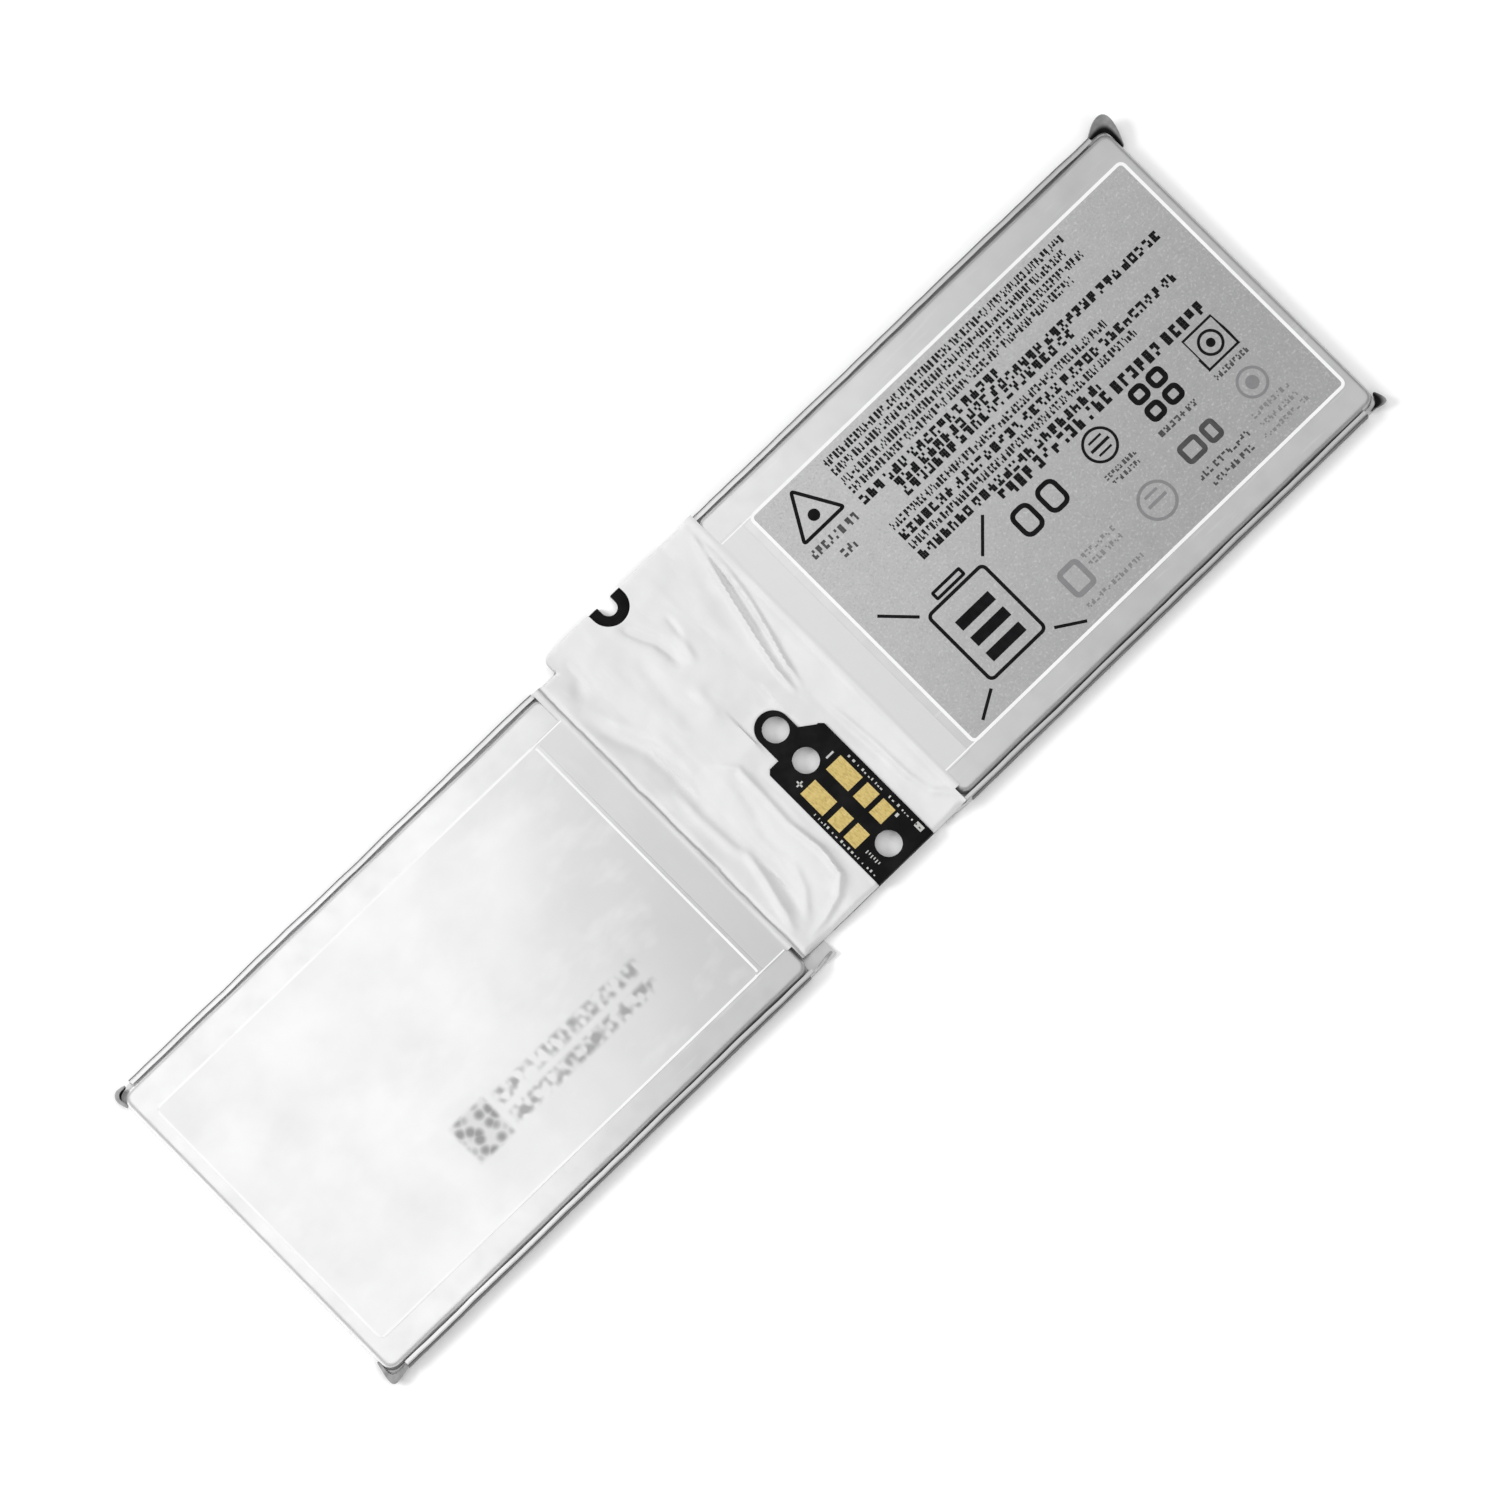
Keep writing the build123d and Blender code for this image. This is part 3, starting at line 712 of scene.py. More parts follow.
def ears(cell):
    """Corner tips of the folded end, with the loose laminate standing off the shoulder."""
    if cell == "right":
        large = [
            [(93.0, 32.6, 0.3), (95.0, 32.6, 0.3), (96.2, 32.0, 0.3), (96.4, 30.2, 0.3), (96.1, 28.0, 0.3)],
            [(93.0, 32.9, 1.0), (95.3, 33.2, 1.0), (96.9, 32.7, 1.0), (97.0, 30.4, 0.9), (96.3, 28.0, 0.8)],
            [(93.0, 33.1, 1.6), (95.6, 34.0, 1.9), (97.6, 33.6, 1.9), (97.4, 30.8, 1.6), (96.5, 28.1, 1.2)],
            [(93.1, 33.1, 2.05), (95.7, 34.7, 2.5), (98.1, 34.3, 2.6), (97.8, 31.2, 2.2), (96.6, 28.3, 1.5)],
        ]
        small = [
            [(94.0, -32.6, 0.3), (95.8, -32.4, 0.3), (96.2, -30.8, 0.3)],
            [(94.2, -32.8, 0.9), (96.8, -33.2, 0.9), (96.5, -30.7, 0.8)],
            [(94.5, -32.8, 1.4), (97.8, -34.0, 1.5), (96.6, -30.6, 1.2)],
        ]
    else:
        large = [
            [(92.6, 32.5, 0.3), (94.8, 32.8, 0.3), (96.0, 32.6, 0.3), (96.1, 30.6, 0.3), (96.0, 28.8, 0.3)],
            [(92.6, 32.8, 0.9), (95.0, 33.3, 0.9), (96.7, 33.3, 0.9), (96.5, 30.8, 0.9), (96.1, 28.8, 0.8)],
            [(92.6, 32.9, 1.5), (95.2, 33.6, 1.5), (97.7, 34.1, 1.5), (96.9, 31.0, 1.5), (96.3, 28.9, 1.3)],
            [(92.8, 32.3, 1.9), (94.6, 32.6, 1.9), (96.2, 32.3, 1.9), (96.2, 30.8, 1.8), (95.9, 29.2, 1.6)],
        ]
        small = [
            [(94.0, -32.6, 0.3), (95.5, -32.5, 0.3), (96.2, -31.4, 0.3), (96.1, -30.0, 0.3)],
            [(94.0, -32.9, 1.1), (96.0, -33.3, 1.1), (96.9, -31.8, 1.1), (96.2, -30.0, 0.9)],
            [(94.0, -32.9, 1.8), (96.1, -33.6, 2.0), (97.2, -31.8, 2.0), (96.1, -30.0, 1.5)],
            [(94.3, -32.5, 2.1), (95.6, -32.7, 2.45), (96.5, -31.6, 2.4), (95.8, -30.3, 1.9)],
        ]
    return [fold(f"{cell}_ear", large), fold(f"{cell}_small_ear", small)]


def inner_corners(cell):
    """The loose ends of the side seams beside the terrace, pinched down towards it."""
    folds = []
    for side in (-1, 1):
        rows = []
        for height, lean in ((0.25, 0.0), (0.9, 0.1), (1.6, 0.0), (2.05, -0.15)):
            line = [(0.6, side * (SIDE - 0.16 + lean * 0.4), height)]
            for x, drop in ((-0.6, 0.92), (-1.9, 0.62), (-3.2, 0.36), (-4.6, 0.2)):
                y = side * (SIDE - 0.2 - (1 - drop) * 0.5 * height + lean * 0.3)
                line.append((x, y, 0.25 + (height - 0.25) * drop))
            rows.append(line if side < 0 else line[::-1])
        folds.append(fold(f"{cell}_inner_corner_{side}", rows, 0.2))
    return folds


def build_cell(cell, seed):
    shell = join(f"{cell}_pouch_cup", [cup(cell, seed), terrace(cell, seed), *inner_corners(cell)])
    complete(seat(shell, cell), "pouch_laminate", f"{cell}_cell", replaced=[f"{cell}_pouch_cup"])
    # The corner folds take a copy of the laminate painted darker as shade.
    folds = join(f"{cell}_corner_folds", ears(cell))
    complete(seat(folds, cell), "shaded_folded_laminate", f"{cell}_cell")
    seams = join(f"{cell}_side_seams", [seam(cell, side, seed + side) for side in (-1, 1)])
    complete(seat(seams, cell), "pouch_laminate", f"{cell}_cell")
    complete(seat(cover(cell), cell), "pouch_laminate", f"{cell}_cell", replaced=[f"{cell}_pouch_cover"])
    for side in (-1, 1):
        in_front = side * SIDES[cell] < 0
        tape = seat(seam_tape(cell, side, seed + side), cell)
        # Painted shade: the front seams' tapes take the darker, shaded copy of the tape.
        finish = "shaded_seam_tape" if in_front else "seam_tape"
        complete(tape, finish, f"{cell}_cell", replaced=[f"{cell}_seam_tapes"])


# ---------------------------------------------------------------------------------------------
# Film around the board: one half for each cell, meeting at x = 0
# ---------------------------------------------------------------------------------------------
FILM_FRONT, FILM_BACK = edges_of("upper_film")[2:4]
FILM_Z, FILM_THICK = 1.6, 0.06
HINGE = 12.4
FOLD_X = 18.4  # where the film leaves its own edge for the cells' faces
STEP_X, STEP_Y = -14.4, 31.45  # the step in the film's left back corner
PRESS = 0.07  # how far the film may stand above a cell's top
BOARD_X0, BOARD_X1 = edges_of("contact_board")[:2]
LUG_X, HOLE_X = BOARD_X1 - 6.7, BOARD_X1 - 6.5
NOTCH_X = -0.4
SPLIT = BOARD_X0 - 0.4  # where the two halves of the film meet
SKIRT = min(edges_of("main_board")[2] - FILM_FRONT, FILM_BACK - edges_of("main_board")[3]) - 0.1


def near(co, path):
    """Distance of each point from a bent line, and how far along it the nearest spot is, 0 to 1."""
    best, along, done = np.full(len(co), 1e9), np.zeros(len(co)), 0.0
    runs = [(np.array(a, float), np.array(b, float)) for a, b in zip(path, path[1:])]
    whole = sum(np.linalg.norm(b - a) for a, b in runs)
    for a, b in runs:
        d = b - a
        t = np.clip(((co[:, :2] - a) @ d) / (d @ d), 0, 1)
        off = np.linalg.norm(co[:, :2] - a - t[:, None] * d, axis=1)
        closer = off < best
        best[closer] = off[closer]
        along[closer] = (done + t[closer] * np.linalg.norm(d)) / whole
        done += np.linalg.norm(d)
    return best, along


def crease(co, path, height, width, ends=0.25):
    """A ridge, or a valley if the height is negative, along a line, dying out at its ends."""
    off, along = near(co, path)
    fade = np.clip(along / ends, 0, 1) * np.clip((1 - along) / ends, 0, 1)
    return height * np.exp(-((off / width) ** 2)) * fade


SOFT_FOLDS = (
    # line, height, width and, where it isn't a quarter, the part of the line over which each end dies out
    (((-1.8, 30.4), (-0.2, 26.6), (1.1, 23.6), (1.6, 20.6), (1.2, 17.2)), -0.34, 1.0, 0.2),
    (((4.6, 22.6), (3.7, 19.0), (3.1, 16.2)), 0.16, 0.8),
    (((5.2, 26.0), (4.9, 22.6), (3.9, 19.6)), -0.12, 0.6),
    (((-2.9, 26.5), (-3.6, 20.2), (-4.1, 14.0), (-4.6, 5.0)), -0.14, 1.5),
    (((0.6, 15.0), (-0.4, 10.8), (-0.6, 5.5)), 0.12, 1.3),
    (((-11.0, 32.0), (-12.1, 28.3), (-15.1, 24.6)), -0.16, 1.5),
    (((-17.4, 24.1), (-15.2, 17.6), (-12.6, 11.4), (-12.1, 6.2), (-12.6, -1.9)), -0.26, 1.5),
    (((-15.4, 24.0), (-13.2, 17.6), (-10.4, 11.0), (-9.9, 3.0)), 0.16, 1.4),
    (((-7.9, 3.2), (-4.3, -1.2), (-4.4, -6.4), (-4.8, -13.5), (-3.9, -20.6)), 0.20, 0.7),
    (((-4.8, -13.5), (-3.9, -20.6), (-4.6, -25.5), (-7.4, -27.8), (-11.5, -29.0), (-15.9, -29.6)), 0.34, 0.6),
    (((-12.9, -11.0), (-14.0, -17.5), (-15.6, -23.6), (-16.9, -27.8)), 0.30, 0.75),
    (((-11.4, -15.0), (-12.4, -20.5), (-14.2, -26.0)), -0.22, 0.9),
    (((-14.4, 4.0), (-14.6, -2.8), (-14.2, -9.6), (-13.2, -14.6)), 0.20, 0.9),
    (((-5.8, -0.8), (-7.2, -7.6), (-8.8, -12.6), (-8.2, -18.7)), -0.14, 1.1),
    (((-8.6, -18.0), (-10.4, -23.0), (-14.0, -27.6)), 0.18, 0.8),
    (((17.7, 32.4), (16.2, 25.6), (14.7, 19.3), (13.2, 12.6), (11.9, 6.1), (11.6, 1.0)), 0.34, 0.50, 0.12),
    (((18.3, 31.0), (17.6, 24.0), (16.8, 17.8), (15.4, 12.0), (13.8, 6.1), (13.1, 1.0)), 0.30, 0.45, 0.15),
    (((17.4, 28.5), (16.4, 22.0), (15.2, 16.0), (13.6, 9.0)), -0.24, 0.6),
    (((13.5, -0.6), (14.2, -6.8), (14.7, -13.2), (15.0, -21.4), (16.2, -28.0)), 0.20, 0.55),
    (((13.2, 2.0), (13.6, -6.0), (14.0, -14.0), (14.0, -24.0)), -0.10, 0.8),
    (((19.5, 14.0), (19.3, 2.2), (18.7, -9.0), (18.6, -18.6)), 0.12, 0.8),
    (((20.0, 31.0), (20.3, 22.0), (20.9, 12.0)), 0.04, 0.6),
    (((15.0, 31.8), (12.4, 27.0), (10.6, 20.0), (9.4, 10.0)), 0.12, 1.8),
    (((9.0, 31.5), (7.6, 24.0), (8.6, 14.0), (9.8, 6.0)), -0.12, 2.0),
    (((15.4, -25.5), (17.6, -28.0), (19.4, -29.8)), 0.22, 0.6),
)


def window_reach(x, y):
    """How far a place is outside the contact board's window; negative inside it."""
    beside_lug = (x > LUG_X - 3.6) & (x < LUG_X + 3.6)
    sideways = np.maximum(BOARD_X0 - 0.4 - x, x - BOARD_X1 - 0.4)
    return np.maximum(sideways, y + 4.5 + np.where(beside_lug, -7.4, 0))


def film_height(co):
    """Height of the film's underside over the board, down the wings and up onto the cells."""
    x, y = co[:, 0], co[:, 1]
    across = np.abs(x)
    t = np.clip((across - HINGE) / (19.7 - HINGE), 0, 1)
    climb = t * t * (3 - 2 * t)
    height = FILM_Z + (CELL_TOP - FILM_Z) * climb
    beside_window = window_reach(x, y)
    middle = 0.52 * np.clip((11.5 - across) / 4, 0, 1) * np.clip((beside_window - 0.5) / 4, 0, 1)
    height += middle * np.clip((FILM_BACK - y) / 5, 0, 1)
    height += np.where(x > 0, 0.22, 0.0) * np.exp(-(((across - 19.3) / 0.35) ** 2))
    gutter = np.exp(-(((across - 18.35 - 0.12 * wander(y, 3, 5)) / 0.42) ** 2))
    height -= gutter * np.where(x < 0, 0.42, 0.12)
    wrinkle = 2.4 * sum(crease(co, *spec) for spec in SOFT_FOLDS)
    wrinkle += 0.22 * pillow(co, 4, 7.5) + 0.09 * pillow(co, 9, 2.6)
    on_face = np.clip((20.2 - across) / 1.4, 0, 1)
    low_in_gutter = 0.62 + np.clip(across - 17.6, 0, 1.4) * 1.2
    low_inside = np.where(across < 12.2, 1.54, low_in_gutter)
    low = np.where(across > 19.0, CELL_TOP + 0.005, low_inside)
    height = np.maximum(height + wrinkle * on_face * np.clip(beside_window / 1.2, 0.15, 1), low)
    inset = np.minimum(y - FILM_FRONT, FILM_BACK - y)
    step = np.where((x < STEP_X) & (y > 20), STEP_Y - y, 1e3)
    inset = np.minimum(inset, np.where(step > -0.5, np.abs(step), 1e3))
    drop = np.clip(1 - inset / 0.9, 0, 1) ** 2 * np.clip((FOLD_X - across) / 1.5, 0, 1)
    floor_under = np.where(across < 12.0, 0.98, 0.7)
    height = np.minimum(height + drop * (floor_under - height), CELL_TOP + PRESS)
    skirt = np.clip((SKIRT - inset) / 0.15, 0, 1) * (across < FOLD_X)
    return height + skirt * (0.16 - height)


def film_half(name, side, thick, reach, columns, rows):
    """One half of a film: a fine flat sheet, before its outline is cut and it takes its shape."""
    x0, x1 = (SPLIT, reach) if side > 0 else (-reach, SPLIT)
    piece = grid(name, x0, x1, FILM_FRONT, FILM_BACK, 0, columns, rows)
    return thicken(piece, thick, 1)


def combine(piece, other, operation):
    modify(piece, "BOOLEAN", operation=operation, object=other, solver="EXACT")
    bpy.data.objects.remove(other)
    return piece


def cut_out(piece, cutter):
    return combine(piece, cutter, "DIFFERENCE")


def window_cutter(grow):
    """The contact board's outline, with its lug and slanted shoulder."""
    x0, x1, y0 = edges_of("contact_board")[:3]
    body = block("window_cutter", x0 - grow, x1 + grow, y0 - 2, -4.85 + grow, -1, 4)
    with at_bench(body) as bench:
        bench.pick("edges", lambda e: stands(e, 1) and e.verts[0].co.y > -10 * MM)
        bpy.ops.mesh.bevel(offset=0.75 * MM, segments=1, affect="EDGES")
    lug = post("lug_cutter", LUG_X, -0.35, 3.1 + grow, -1.01, 4.01)
    neck = block("neck_cutter", LUG_X - 3.1 - grow, LUG_X + 3.1 + grow, -6, -0.35, -1.02, 4.02)
    shoulder = block("shoulder_cutter", x1 - 4.4, x1 + grow, -8, -2.42, -1.03, 4.03)
    with at_bench(shoulder) as bench:
        bench.pick("verts", lambda v: v.co.x > (x1 - 1) * MM and v.co.y > -3 * MM)
        bpy.ops.transform.translate(value=(0, (grow - 3.18) * MM, 0))
    for extra in (lug, neck, shoulder):
        combine(body, extra, "UNION")
    return body


def notch_cutter(width, end):
    half = width / 2
    round_end = post("notch_cutter", NOTCH_X, end + half, half, -1, 4)
    channel = block("channel_cutter", NOTCH_X - half, NOTCH_X + half, end + half, FILM_BACK + 2, -1.01, 4.01)
    return combine(round_end, channel, "UNION")


def rounding_cutter(x, y, radius):
    """What is cut from a film's outer corner, at the left and back, to round it."""
    corner = block("rounding_cutter", x - 1, x + radius, y - radius, y + 1, -1, 4)
    round_part = post("rounding_core", x + radius, y - radius, radius, -2, 5)
    return cut_out(corner, round_part)


def flap_cutters(side):
    """What is cut from beside the flaps that are stuck to the cells' faces."""
    front, back = (-28.3, 25.2) if side < 0 else (-25.7, 28.1)
    x0, x1 = (19.9, 26) if side > 0 else (-26, -19.9)
    pieces = [
        block("flap_cutter", x0, x1, back, FILM_BACK + 1, -1, 4),
        block("flap_cutter", x0, x1, FILM_FRONT - 1, front, -1, 4),
    ]
    x0, x1 = (18.85, 26.04) if side > 0 else (-26.04, -18.85)
    pieces.append(block("corner_cutter", x0, x1, FILM_FRONT - 1.04, -28.6, -1.04, 4.04))
    if side < 0:
        step = block("step_cutter", -26.02, STEP_X, STEP_Y, FILM_BACK + 1.02, -1.02, 4.02)
        with at_bench(step) as bench:
            bench.pick("edges", lambda e: all(v.co.x > -15 * MM and v.co.y < 32 * MM for v in e.verts))
            bpy.ops.mesh.bevel(offset=0.9 * MM, segments=5, affect="EDGES")
        pieces.append(step)
    return pieces


def upper_film(cell):
    side = SIDES[cell]
    piece = film_half(f"{cell}_film_skin", side, FILM_THICK, 24.9, 90 if side > 0 else 78, 224)
    for cutter in [notch_cutter(7.0, 29.85), *flap_cutters(side)]:
        cut_out(piece, cutter)
    if side > 0:
        cut_out(piece, window_cutter(0.05))
    else:
        cut_out(piece, rounding_cutter(STEP_X, FILM_BACK, 1.5))
    modify(piece, "TRIANGULATE", min_vertices=5)
    co = places(piece)
    co[:, 2] += film_height(co)
    move_to(piece, co)
    smooth(piece, 55)
    nodes = [f"upper_film_{cell}_wing"] + (["upper_film"] if side > 0 else [])
    return complete(piece, "white_film", f"{cell}_cell", replaced=nodes, across=(side * HINGE, side * 19.2))


def lower_film(cell):
    side = SIDES[cell]
    piece = film_half(f"{cell}_under_film", side, 0.1, 18.7, 40, 60)
    cut_out(piece, notch_cutter(3.6, 31.55))
    if side > 0:
        for y in (-0.75, -7.9, -27.35):
            cut_out(piece, post("hole_cutter", HOLE_X, y, 2.8, -1, 1))
    else:
        cut_out(piece, block("step_cutter", -20, STEP_X, STEP_Y, FILM_BACK + 1, -1, 1))
        cut_out(piece, rounding_cutter(STEP_X, FILM_BACK, 1.5))
    modify(piece, "TRIANGULATE", min_vertices=5)
    smooth(piece, 40)
    nodes = [f"lower_film_{cell}_wing"] + (["lower_film"] if side > 0 else [])
    return complete(piece, "white_film", f"{cell}_cell", replaced=nodes, across=(side * 12.0, side * 17.5))


# ---------------------------------------------------------------------------------------------
# Face film and label
# ---------------------------------------------------------------------------------------------
def framed_sheet(name, node, border, corner):
    """A thin sheet with round corners and a bright border, taken from its node's box."""
    x0, x1, y0, y1, z0, z1 = edges_of(node)
    piece = block(name, x0, x1, y0, y1, z0 - 0.02, z1)
    with at_bench(piece) as bench:
        bench.pick("edges", lambda e: stands(e, 0.01))
        bpy.ops.mesh.bevel(offset=corner * MM, segments=6, affect="EDGES")
        bench.pick("faces", lambda f: f.normal.z > 0.9)
        bpy.ops.mesh.inset(thickness=border * MM, depth=0)
    return piece


def paint_border(piece, finish, border_finish, border, node):
    x0, x1, y0, y1, _, _ = edges_of(node)
    piece.data.materials.clear()
    piece.data.materials.append(finishes[finish])
    piece.data.materials.append(finishes[border_finish])
    for face in piece.data.polygons:
        x, y = face.center.x / MM, face.center.y / MM
        edge = min(x - x0, x1 - x, y - y0, y1 - y)
        face.material_index = 1 if edge < border * 0.9 or face.normal.z < 0.5 and edge < 0.2 else 0
    return piece


def strip(x0, x1, y0, y1, z0, z1):
    """A narrow raised line along a film's edge."""
    piece = block("line", x0, x1, y0, y1, z0, z1)
    with at_bench(piece) as bench:
        bench.pick("edges", lambda e: all(v.co.z > (z1 - 0.001) * MM for v in e.verts))
        bpy.ops.mesh.bevel(offset=min(z1 - z0, y1 - y0, x1 - x0) * 0.35 * MM, segments=2, affect="EDGES")
    return piece


def bordered_sheet(name, node, finish, border, body):
    sheet = framed_sheet(name, node, border, 1.2)
    paint_border(sheet, finish, "bright_border", border, node)
    complete(sheet, None, body, replaced=[node])


def flap_edges(name, node, x0, x1, body):
    """Raised lines along a flap's front and back edges, between two places in x."""
    _, _, front, back, low, high = edges_of(node)
    lines = [strip(x0, x1, y, y + 0.3, low - 0.05, high + 0.01) for y in (back - 0.4, front + 0.05)]
    complete(join(name, lines), "bright_border", body)


def face_film():
    node = "left_face_film"
    bordered_sheet("left_face_sheet", node, "face_film", 0.42, "left_cell")
    flap_edges("left_face_edges", node, edges_of(node)[1] - 1.2, -19.5, "left_cell")


def label():
    node = "right_label"
    bordered_sheet("right_label_sheet", node, "label_foil", 0.58, "right_cell")
    flap_edges("right_flap_edges", node, 19.8, edges_of(node)[0] + 1.2, "right_cell")


# ---------------------------------------------------------------------------------------------
# Print on the label: rows of unreadable blocks, and plain signs
# ---------------------------------------------------------------------------------------------
PRINT_Z = CELL_TOP + 0.055
PRINT_THICK = 0.02


def print_row(x0, x1, y, height, cell, letter, seed, fill=0.62):
    """A row of print: small blocks in groups, with gaps like those between words."""
    dice = random.Random(seed)
    columns = int((x1 - x0) / cell)
    keep = set()
    column = 0
    while column < columns:
        for _ in range(dice.randint(3, 9)):
            for i in range(letter):
                spots = [r for r in range(3) if dice.random() < fill] or [dice.randint(0, 2)]
                keep.update((column + i, r) for r in spots)
            column += letter + 1
        column += 1
    piece = grid("print_row", x0, x0 + columns * cell, y - height / 2, y + height / 2, PRINT_Z, columns, 3)
    with at_bench(piece) as bench:
        bpy.ops.mesh.select_mode(type="FACE")
        bpy.ops.mesh.select_all(action="SELECT")
        bpy.ops.mesh.inset(thickness=0.006 * MM, use_individual=True)
        bpy.ops.mesh.select_all(action="INVERT")
        bpy.ops.mesh.delete(type="FACE")

        def spare(face):
            spot = face.calc_center_median() / MM
            return (int((spot.x - x0) / cell), int((spot.y - y + height / 2) / (height / 3))) not in keep

        bench.pick("faces", spare)
        bpy.ops.mesh.delete(type="FACE")
    return piece


def outline(piece, stroke, corner=0.0):
    """Turns a flat shape to a closed line along its edge."""
    with at_bench(piece) as bench:
        if corner:
            bpy.ops.mesh.select_mode(type="VERT")
            bpy.ops.mesh.select_all(action="SELECT")
            bpy.ops.mesh.bevel(offset=corner * MM, segments=5, affect="VERTICES")
        bpy.ops.mesh.select_mode(type="FACE")
        bpy.ops.mesh.select_all(action="SELECT")
        bpy.ops.mesh.inset(thickness=stroke * MM)
        bpy.ops.mesh.delete(type="FACE")
    return piece


def patch(x0, x1, y0, y1):
    return grid("patch", x0, x1, y0, y1, PRINT_Z, 1, 1)


def frame_mark(x0, x1, y0, y1, stroke, corner=0.4):
    return outline(patch(x0, x1, y0, y1), stroke, corner)


def ring_mark(x, y, radius, stroke):
    return outline(disc("ring", x, y, radius, PRINT_Z), stroke)


def dot_mark(x, y, radius):
    return disc("dot", x, y, radius, PRINT_Z, 32)


def bar_mark(x0, y0, x1, y1, stroke):
    """A straight bar between two points."""
    length, angle = math.hypot(x1 - x0, y1 - y0), math.atan2(y1 - y0, x1 - x0)
    piece = patch(-length / 2, length / 2, -stroke / 2, stroke / 2)
    piece.data.transform(Matrix.Rotation(angle, 4, "Z"))
    piece.location = ((x0 + x1) / 2 * MM, (y0 + y1) / 2 * MM, 0)
    return settle(piece)


def inked(name, marks, ink):
    """Joins marks to one print and gives them the ink's thickness."""
    piece = thicken(join(name, marks), PRINT_THICK, 1)
    return complete(piece, ink, "right_cell")


def hazard_sign():
    """A triangle with a disc."""
    sign = outline(disc("triangle", 34.5, 20.7, 5.9, PRINT_Z, 3), 0.62, 1.1)
    return [sign, dot_mark(34.5, 20.5, 1.05)]


def cell_sign():
    """A battery outline with a level bar, and four leader lines that stay outside it."""
    marks = [frame_mark(35.6, 48.8, -20.2, -4.6, 0.62, 1.2), frame_mark(38.9, 45.5, -4.2, -2.4, 0.55, 0.4)]
    marks += [patch(38.4, 46.0, -17.9 + 3.6 * i, -15.9 + 3.6 * i) for i in range(3)]
    for x0, y0, x1, y1 in (
        (34.9, -4.0, 30.0, 1.0),
        (49.5, -4.0, 54.4, 1.0),
        (34.9, -20.8, 30.2, -23.6),
        (49.5, -20.8, 54.2, -23.8),
    ):
        marks.append(bar_mark(x0, y0, x1, y1, 0.55))
    return marks


def label_print():
    rows = []
    for i, (y, x0, x1) in enumerate(
        ((25.25, 41.7, 97.3), (23.26, 41.7, 95.8), (21.1, 41.7, 97.3), (19.1, 41.7, 93.0), (10.0, 42.2, 91.9),
         (5.5, 42.2, 94.4))
    ):
        rows.append(print_row(x0, x1, y, 1.45, 0.25, 2, 11 + i, 0.7))
    for i, (y, x0, x1) in enumerate(
        ((16.6, 41.7, 73.2), (14.6, 47.9, 109.3), (12.7, 47.9, 86.9), (7.7, 42.2, 105.6), (3.2, 42.2, 83.6))
    ):
        rows.append(print_row(x0, x1, y, 1.75, 0.43, 3, 31 + i, 0.74))
    rows.append(print_row(58.7, 105.8, 0.86, 2.3, 0.62, 2, 51, 0.8))
    inked("label_print_rows", rows, "label_ink")
    inked("label_hazard_sign", hazard_sign(), "label_ink")
    small = [
        print_row(29.4, 39.8, 15.6, 1.6, 0.42, 2, 61, 0.6),
        print_row(33.2, 36.4, 12.4, 1.6, 0.42, 2, 62, 0.6),
    ]
    inked("label_sign_rows", small, "grey_ink")
    inked("label_cell_sign", cell_sign(), "label_ink")
    signs = [
        frame_mark(56.9, 61.3, -7.6, -2.0, 0.85, 1.6), frame_mark(62.7, 67.1, -7.6, -2.0, 0.85, 1.6),
        ring_mark(76.6, -4.2, 3.15, 0.5), bar_mark(74.6, -4.2, 78.6, -4.2, 0.55),
        bar_mark(75.2, -5.5, 78.0, -5.5, 0.4), bar_mark(75.2, -2.9, 78.0, -2.9, 0.4),
        frame_mark(85.5, 89.0, -4.3, -1.0, 0.95, 1.2), frame_mark(89.6, 93.1, -4.3, -1.0, 0.95, 1.2),
        frame_mark(85.5, 89.0, -8.2, -4.9, 0.95, 1.2), frame_mark(89.6, 93.1, -8.2, -4.9, 0.95, 1.2),
        frame_mark(98.3, 105.4, -8.1, -1.2, 0.42, 0.15), ring_mark(101.9, -4.7, 2.3, 0.5),
        dot_mark(101.9, -4.7, 0.8),
    ]
    inked("label_signs", signs, "label_ink")
    under = [
        print_row(73.2, 80.0, -9.0, 0.9, 0.25, 2, 71), print_row(73.6, 79.4, -10.5, 0.9, 0.25, 2, 72),
        print_row(84.8, 93.6, -10.0, 1.1, 0.3, 3, 73), print_row(98.2, 105.6, -9.6, 1.1, 0.28, 2, 74),
    ]
    inked("label_sign_captions", under, "grey_ink")
    pale = [
        frame_mark(55.6, 60.4, -20.4, -14.6, 0.95, 1.2), print_row(61.2, 68.8, -15.6, 1.0, 0.3, 2, 81),
        print_row(61.2, 68.8, -17.4, 1.0, 0.3, 2, 82), print_row(56.0, 68.8, -22.2, 0.9, 0.3, 2, 83),
        ring_mark(76.8, -17.5, 3.5, 0.55), bar_mark(74.8, -17.5, 78.8, -17.5, 0.6),
        bar_mark(75.4, -15.9, 78.2, -15.9, 0.5), ring_mark(102.1, -14.3, 2.8, 0.5),
        dot_mark(102.1, -14.3, 1.2), print_row(98.0, 106.4, -18.6, 1.0, 0.3, 2, 84),
        print_row(98.0, 106.4, -20.6, 1.0, 0.3, 2, 85), print_row(97.0, 107.0, -22.4, 0.9, 0.3, 2, 86),
    ]
    inked("label_pale_signs", pale, "pale_ink")
    dark = [frame_mark(84.8, 89.2, -17.4, -13.4, 0.9, 1.0), frame_mark(89.9, 93.0, -17.4, -13.4, 0.9, 1.0),
            print_row(84.4, 95.8, -19.8, 1.2, 0.34, 2, 91), print_row(85.4, 94.6, -22.0, 1.1, 0.34, 2, 92)]
    inked("label_dark_signs", dark, "grey_ink")


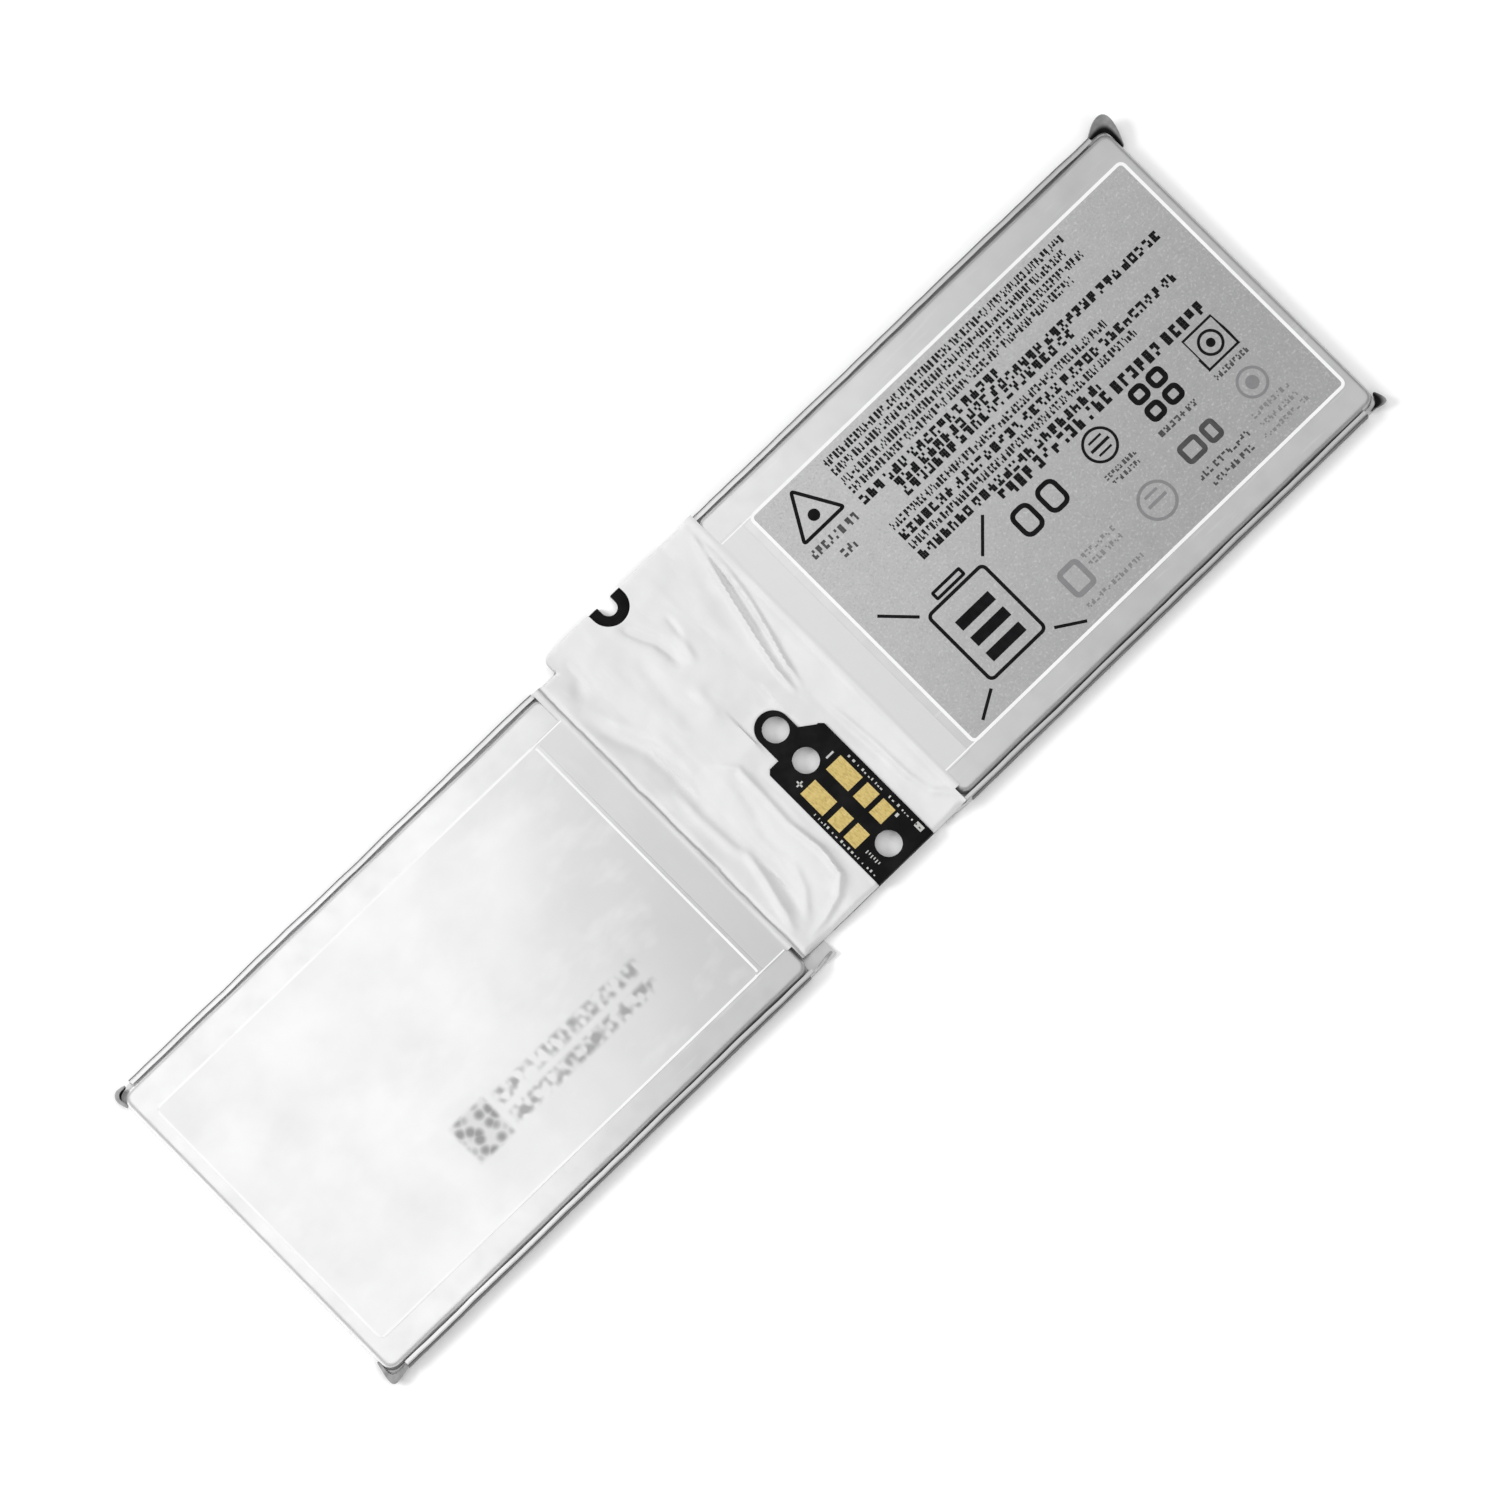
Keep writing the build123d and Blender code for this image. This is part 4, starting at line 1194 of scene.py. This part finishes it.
# ---------------------------------------------------------------------------------------------
# Boards
# ---------------------------------------------------------------------------------------------
def board_copy(node, name, finish, bevel):
    """A board with softened edges, from its CAD node: a merged copy with its flat faces made whole."""
    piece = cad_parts[node].copy()
    piece.data = piece.data.copy()
    piece.name = piece.data.name = name
    for key in [k for k in piece.keys() if k.startswith("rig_")]:
        del piece[key]
    piece.parent = None
    bpy.context.scene.collection.objects.link(piece)
    with at_bench(piece) as bench:
        bpy.ops.mesh.select_all(action="SELECT")
        bpy.ops.mesh.remove_doubles(threshold=0.002 * MM)
        bpy.ops.mesh.dissolve_limited(angle_limit=math.radians(1))
    modify(piece, "BEVEL", width=bevel * MM, segments=2, limit_method="ANGLE", angle_limit=math.radians(50))
    smooth(piece, 35)
    return complete(piece, finish, "board", replaced=[node])


def contact_legend():
    """Polarity signs beside the large contacts and plain dashes along the board's edges."""
    top = edges_of("contact_board")[5]

    def dash(x0, x1, y0, y1):
        """A printed dash, its x counted from the board's left edge."""
        return block("dash", BOARD_X0 + x0, BOARD_X0 + x1, y0, y1, top - 0.02, top + 0.025)

    marks = [dash(1.75, 3.05, -10.2, -9.9), dash(2.25, 2.55, -10.7, -9.4), dash(8.6, 10.2, -10.2, -9.85)]
    dice = random.Random(5)
    y = -12.2
    while y > -29.0:
        length = dice.uniform(0.15, 0.5)
        if not -21.0 < y < -20.0:
            marks.append(dash(11.3, 11.3 + dice.uniform(0.2, 0.5), y - length, y))
        y -= length + dice.uniform(0.25, 0.8)
    y = -15.4
    while y > -29.4:
        length = dice.uniform(0.15, 0.45)
        marks.append(dash(0.4, 0.4 + dice.uniform(0.2, 0.5), y - length, y))
        y -= length + dice.uniform(0.3, 0.9)
    for i in range(6):
        marks.append(dash(2.1 + 0.2 * (i % 2), 2.75, -26.0 - i * 0.55, -25.8 - i * 0.55))
    marks += [dash(9.9, 10.6, -25.2, -24.7), dash(11.0, 12.0, -29.7, -28.1)]
    piece = join("contact_legend", marks)
    return complete(piece, "legend_ink", "board")


# ---------------------------------------------------------------------------------------------
# Put together
# ---------------------------------------------------------------------------------------------
NODE_FINISH = {
    "contact_pads": "gold_plating", "board_posts": "solder", "main_board": "black_solder_mask",
    "fuel_gauge_chip": "chip_epoxy", "protection_mosfets": "chip_epoxy", "sense_resistor": "chip_ceramic",
    "fuse": "chip_ceramic", "thermistor": "chip_ceramic", "chip_capacitors": "chip_ceramic",
}
CELL_NODE_FINISH = {
    "anode_sheets": "anode_coating",
    "cathode_sheets": "cathode_coating",
    "separator_sheets": "separator_film",
    "stack_tape": "stack_tape",
    "positive_tab": "aluminium_foil",
    "negative_tab": "nickel",
    "positive_tab_seal": "tab_sealant",
    "negative_tab_seal": "tab_sealant",
    "positive_foils": "aluminium_foil",
    "negative_foils": "copper_foil",
    "positive_link": "nickel",
    "negative_link": "nickel",
}
for cell in SIDES:
    NODE_FINISH.update({f"{cell}_{part}": finish for part, finish in CELL_NODE_FINISH.items()})

set_camera()
set_stage()
set_lights()
for node, finish in NODE_FINISH.items():
    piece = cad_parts[node]
    if not piece.data.materials:
        piece.data.materials.append(None)
    for slot in piece.material_slots:
        slot.material = finishes[finish]
build_cell("left", 21)
build_cell("right", 43)
for cell in SIDES:
    upper_film(cell)
    lower_film(cell)
face_film()
label()
label_print()
board_copy("contact_board", "contact_plate", "black_solder_mask", 0.07)
contact_legend()
